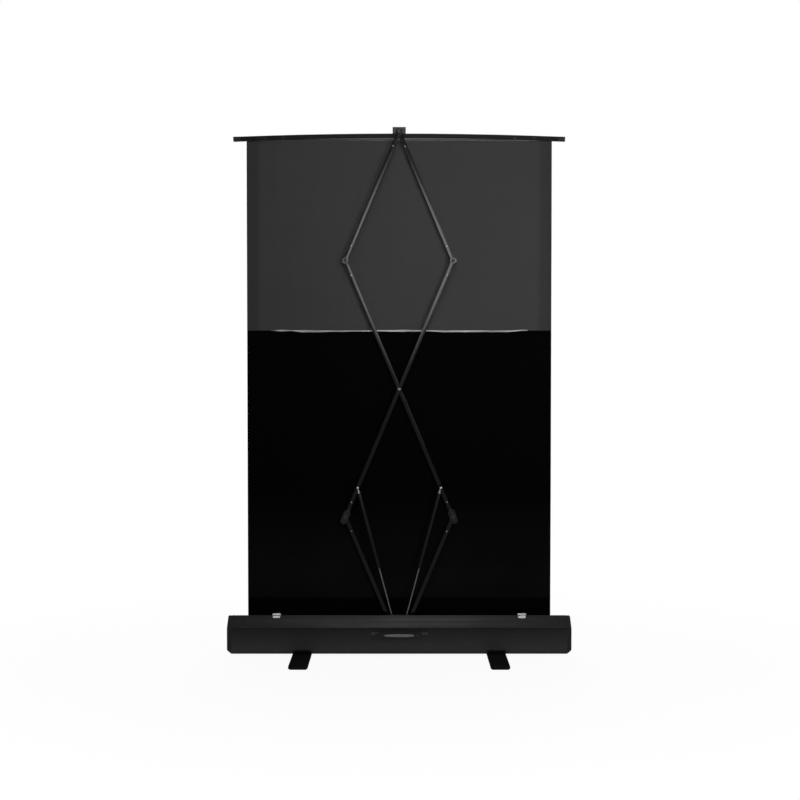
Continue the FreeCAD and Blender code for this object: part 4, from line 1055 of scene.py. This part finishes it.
handle = Skin()
handle.shell(bow(), 1)
handle.shell(hand_grip(), 0)
handle.piece("carry_handle", [FINISH["grip_rubber"], FINISH["end_plastic"]], "case",
             ["handle_grip"])

# Feet: a rounded slab with a softened top edge and a chamfer below. A row is the inset and the distance from
# the underside or from the top, in metres.

FOOT_CORNER = 0.009
CORNER_SHARE = 0.6
FOOT_BELOW = ((0.0025, 0.0), (0.0007, 0.0006), (0.0, 0.0024))
FOOT_ABOVE = ((0.0, 0.003), (0.0005, 0.0015), (0.0018, 0.0004), (0.0034, 0.0))
for side in ("left", "right"):
    low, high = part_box(side + "_foot")
    middle = (low + high) / 2
    half_x, half_y = (high.x - low.x) / 2, (high.y - low.y) / 2
    layers = [(inset, low.z + up) for inset, up in FOOT_BELOW]
    layers += [(inset, high.z - down) for inset, down in FOOT_ABOVE]
    outlines = [rounded(half_x - inset, half_y - inset, FOOT_CORNER - inset * CORNER_SHARE, 9)
                for inset, _ in layers]
    foot = Skin()
    foot.shell(stacked(outlines, [z for _, z in layers], (0, 1, 2)) + np.array([middle.x, middle.y, 0.0]))
    foot.piece(side + "_foot_bar", [FINISH["foot_metal"]], "foot_" + side, [side + "_foot"])


# Stage: white floor and surroundings, boxes in front, beside and above, and two on the picture side.

FLOOR_SHARE = 0.5
ROOM_SHARE = 0.15
KEPT_SHADE = 0.07
SHADE_REACH, SHADE_SOFT = 0.75, 1.1
SHADE_LONG = 0.35
ROOM_LIGHT = 0.05


def white_floor():
    """White to the camera; near the case a small share of the real shading stays, and fades with distance."""
    p = Paint("white_floor", Base_Color=(0.85, 0.85, 0.85, 1.0), Roughness=0.9, Specular_IOR_Level=0.0)
    x, y, _ = p.axes(p.place())
    far = ((x * x) * SHADE_LONG + y * y).root()
    share = far.above(SHADE_REACH, SHADE_SOFT) * KEPT_SHADE + (1.0 - KEPT_SHADE)
    glow = p.node("ShaderNodeEmission")
    lit = p.node("ShaderNodeMixShader", None, {0: p.seen(FLOOR_SHARE) * share, 1: p.surface, 2: glow})
    p.feed(p.end.inputs["Surface"], lit)
    return p.material


REACH = 40.0
floor_mesh = bpy.data.meshes.new("floor")
floor_mesh.from_pydata([(-REACH, -REACH, 0), (REACH, -REACH, 0), (REACH, REACH, 0), (-REACH, REACH, 0)], [],
                       [(0, 1, 2, 3)])
floor_mesh.materials.append(white_floor())
floor = bpy.data.objects.new("floor", floor_mesh)
bpy.context.scene.collection.objects.link(floor)
floor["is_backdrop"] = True

world = bpy.data.worlds.new("white_surroundings")
bpy.context.scene.world = world
world.use_nodes = True
sky = Nodes(world.node_tree)
room = sky.node("ShaderNodeBackground", None, {"Color": (*grey(1.0), 1.0), "Strength": ROOM_LIGHT})
backdrop = sky.node("ShaderNodeBackground", None, {"Color": (*grey(1.0), 1.0), "Strength": 1.0})
both = sky.node("ShaderNodeMixShader", None, {0: sky.seen(ROOM_SHARE), 1: room, 2: backdrop})
sky.feed(sky.tree.nodes.new("ShaderNodeOutputWorld").inputs["Surface"], both)


# Each box: place, aim, width and height in metres, power in watts and spread in degrees.

BOXES = {
    "front_box": ((0.14, -3.2, 1.98), (0.2, 0.0, 1.45), 1.05, 0.9, 8.0, 80.0),
    "right_box": ((2.1, -2.5, 1.8), (0.25, 0.0, 1.45), 0.7, 0.9, 10.2, 80.0),
    "left_box": ((-2.6, -2.2, 1.6), (0.0, 0.0, 1.4), 0.7, 0.9, 4.0, 180.0),
    "top_box": ((0.05, -1.6, 4.0), (0.0, -0.05, 0.15), 1.3, 0.8, 35.0, 180.0),
    "picture_box": ((0.6, 3.8, 2.4), (0.0, 0.0, 1.3), 2.0, 1.4, 115.0, 180.0),
    "picture_low_box": ((-1.0, 2.8, 1.1), (0.0, 0.08, 0.1), 1.6, 0.8, 4.5, 45.0),
}
for name, (place, aim, wide, tall, power, spread) in BOXES.items():
    light = bpy.data.lights.new(name, "AREA")
    light.shape = "RECTANGLE"
    light.size = wide
    light.size_y = tall
    light.energy = power
    light.spread = math.radians(spread)
    box = bpy.data.objects.new(name, light)
    box.location = place
    box.rotation_euler = (Vector(aim) - Vector(place)).to_track_quat("-Z", "Y").to_euler()
    box.visible_camera = False
    bpy.context.scene.collection.objects.link(box)

# Camera: the photograph's place, a little above mid height, four metres back.

CAMERA_PLACE = (0.0033, -4.0, 1.21)
CAMERA_TILT = math.radians(90.0 - 1.25)
SENSOR_WIDTH, LENS, SHIFT_UP, SIGHT = 36.0, 43.7, -0.0216, 200.0
camera_data = bpy.data.cameras.new("camera")
camera_data.sensor_width = SENSOR_WIDTH
camera_data.lens = LENS
camera_data.shift_y = SHIFT_UP
camera_data.clip_end = SIGHT
camera = bpy.data.objects.new("camera", camera_data)
camera.location = CAMERA_PLACE
camera.rotation_euler = (CAMERA_TILT, 0.0, 0.0)
bpy.context.scene.collection.objects.link(camera)
bpy.context.scene.camera = camera
bpy.context.scene.view_settings.view_transform = "Standard"

low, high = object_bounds()
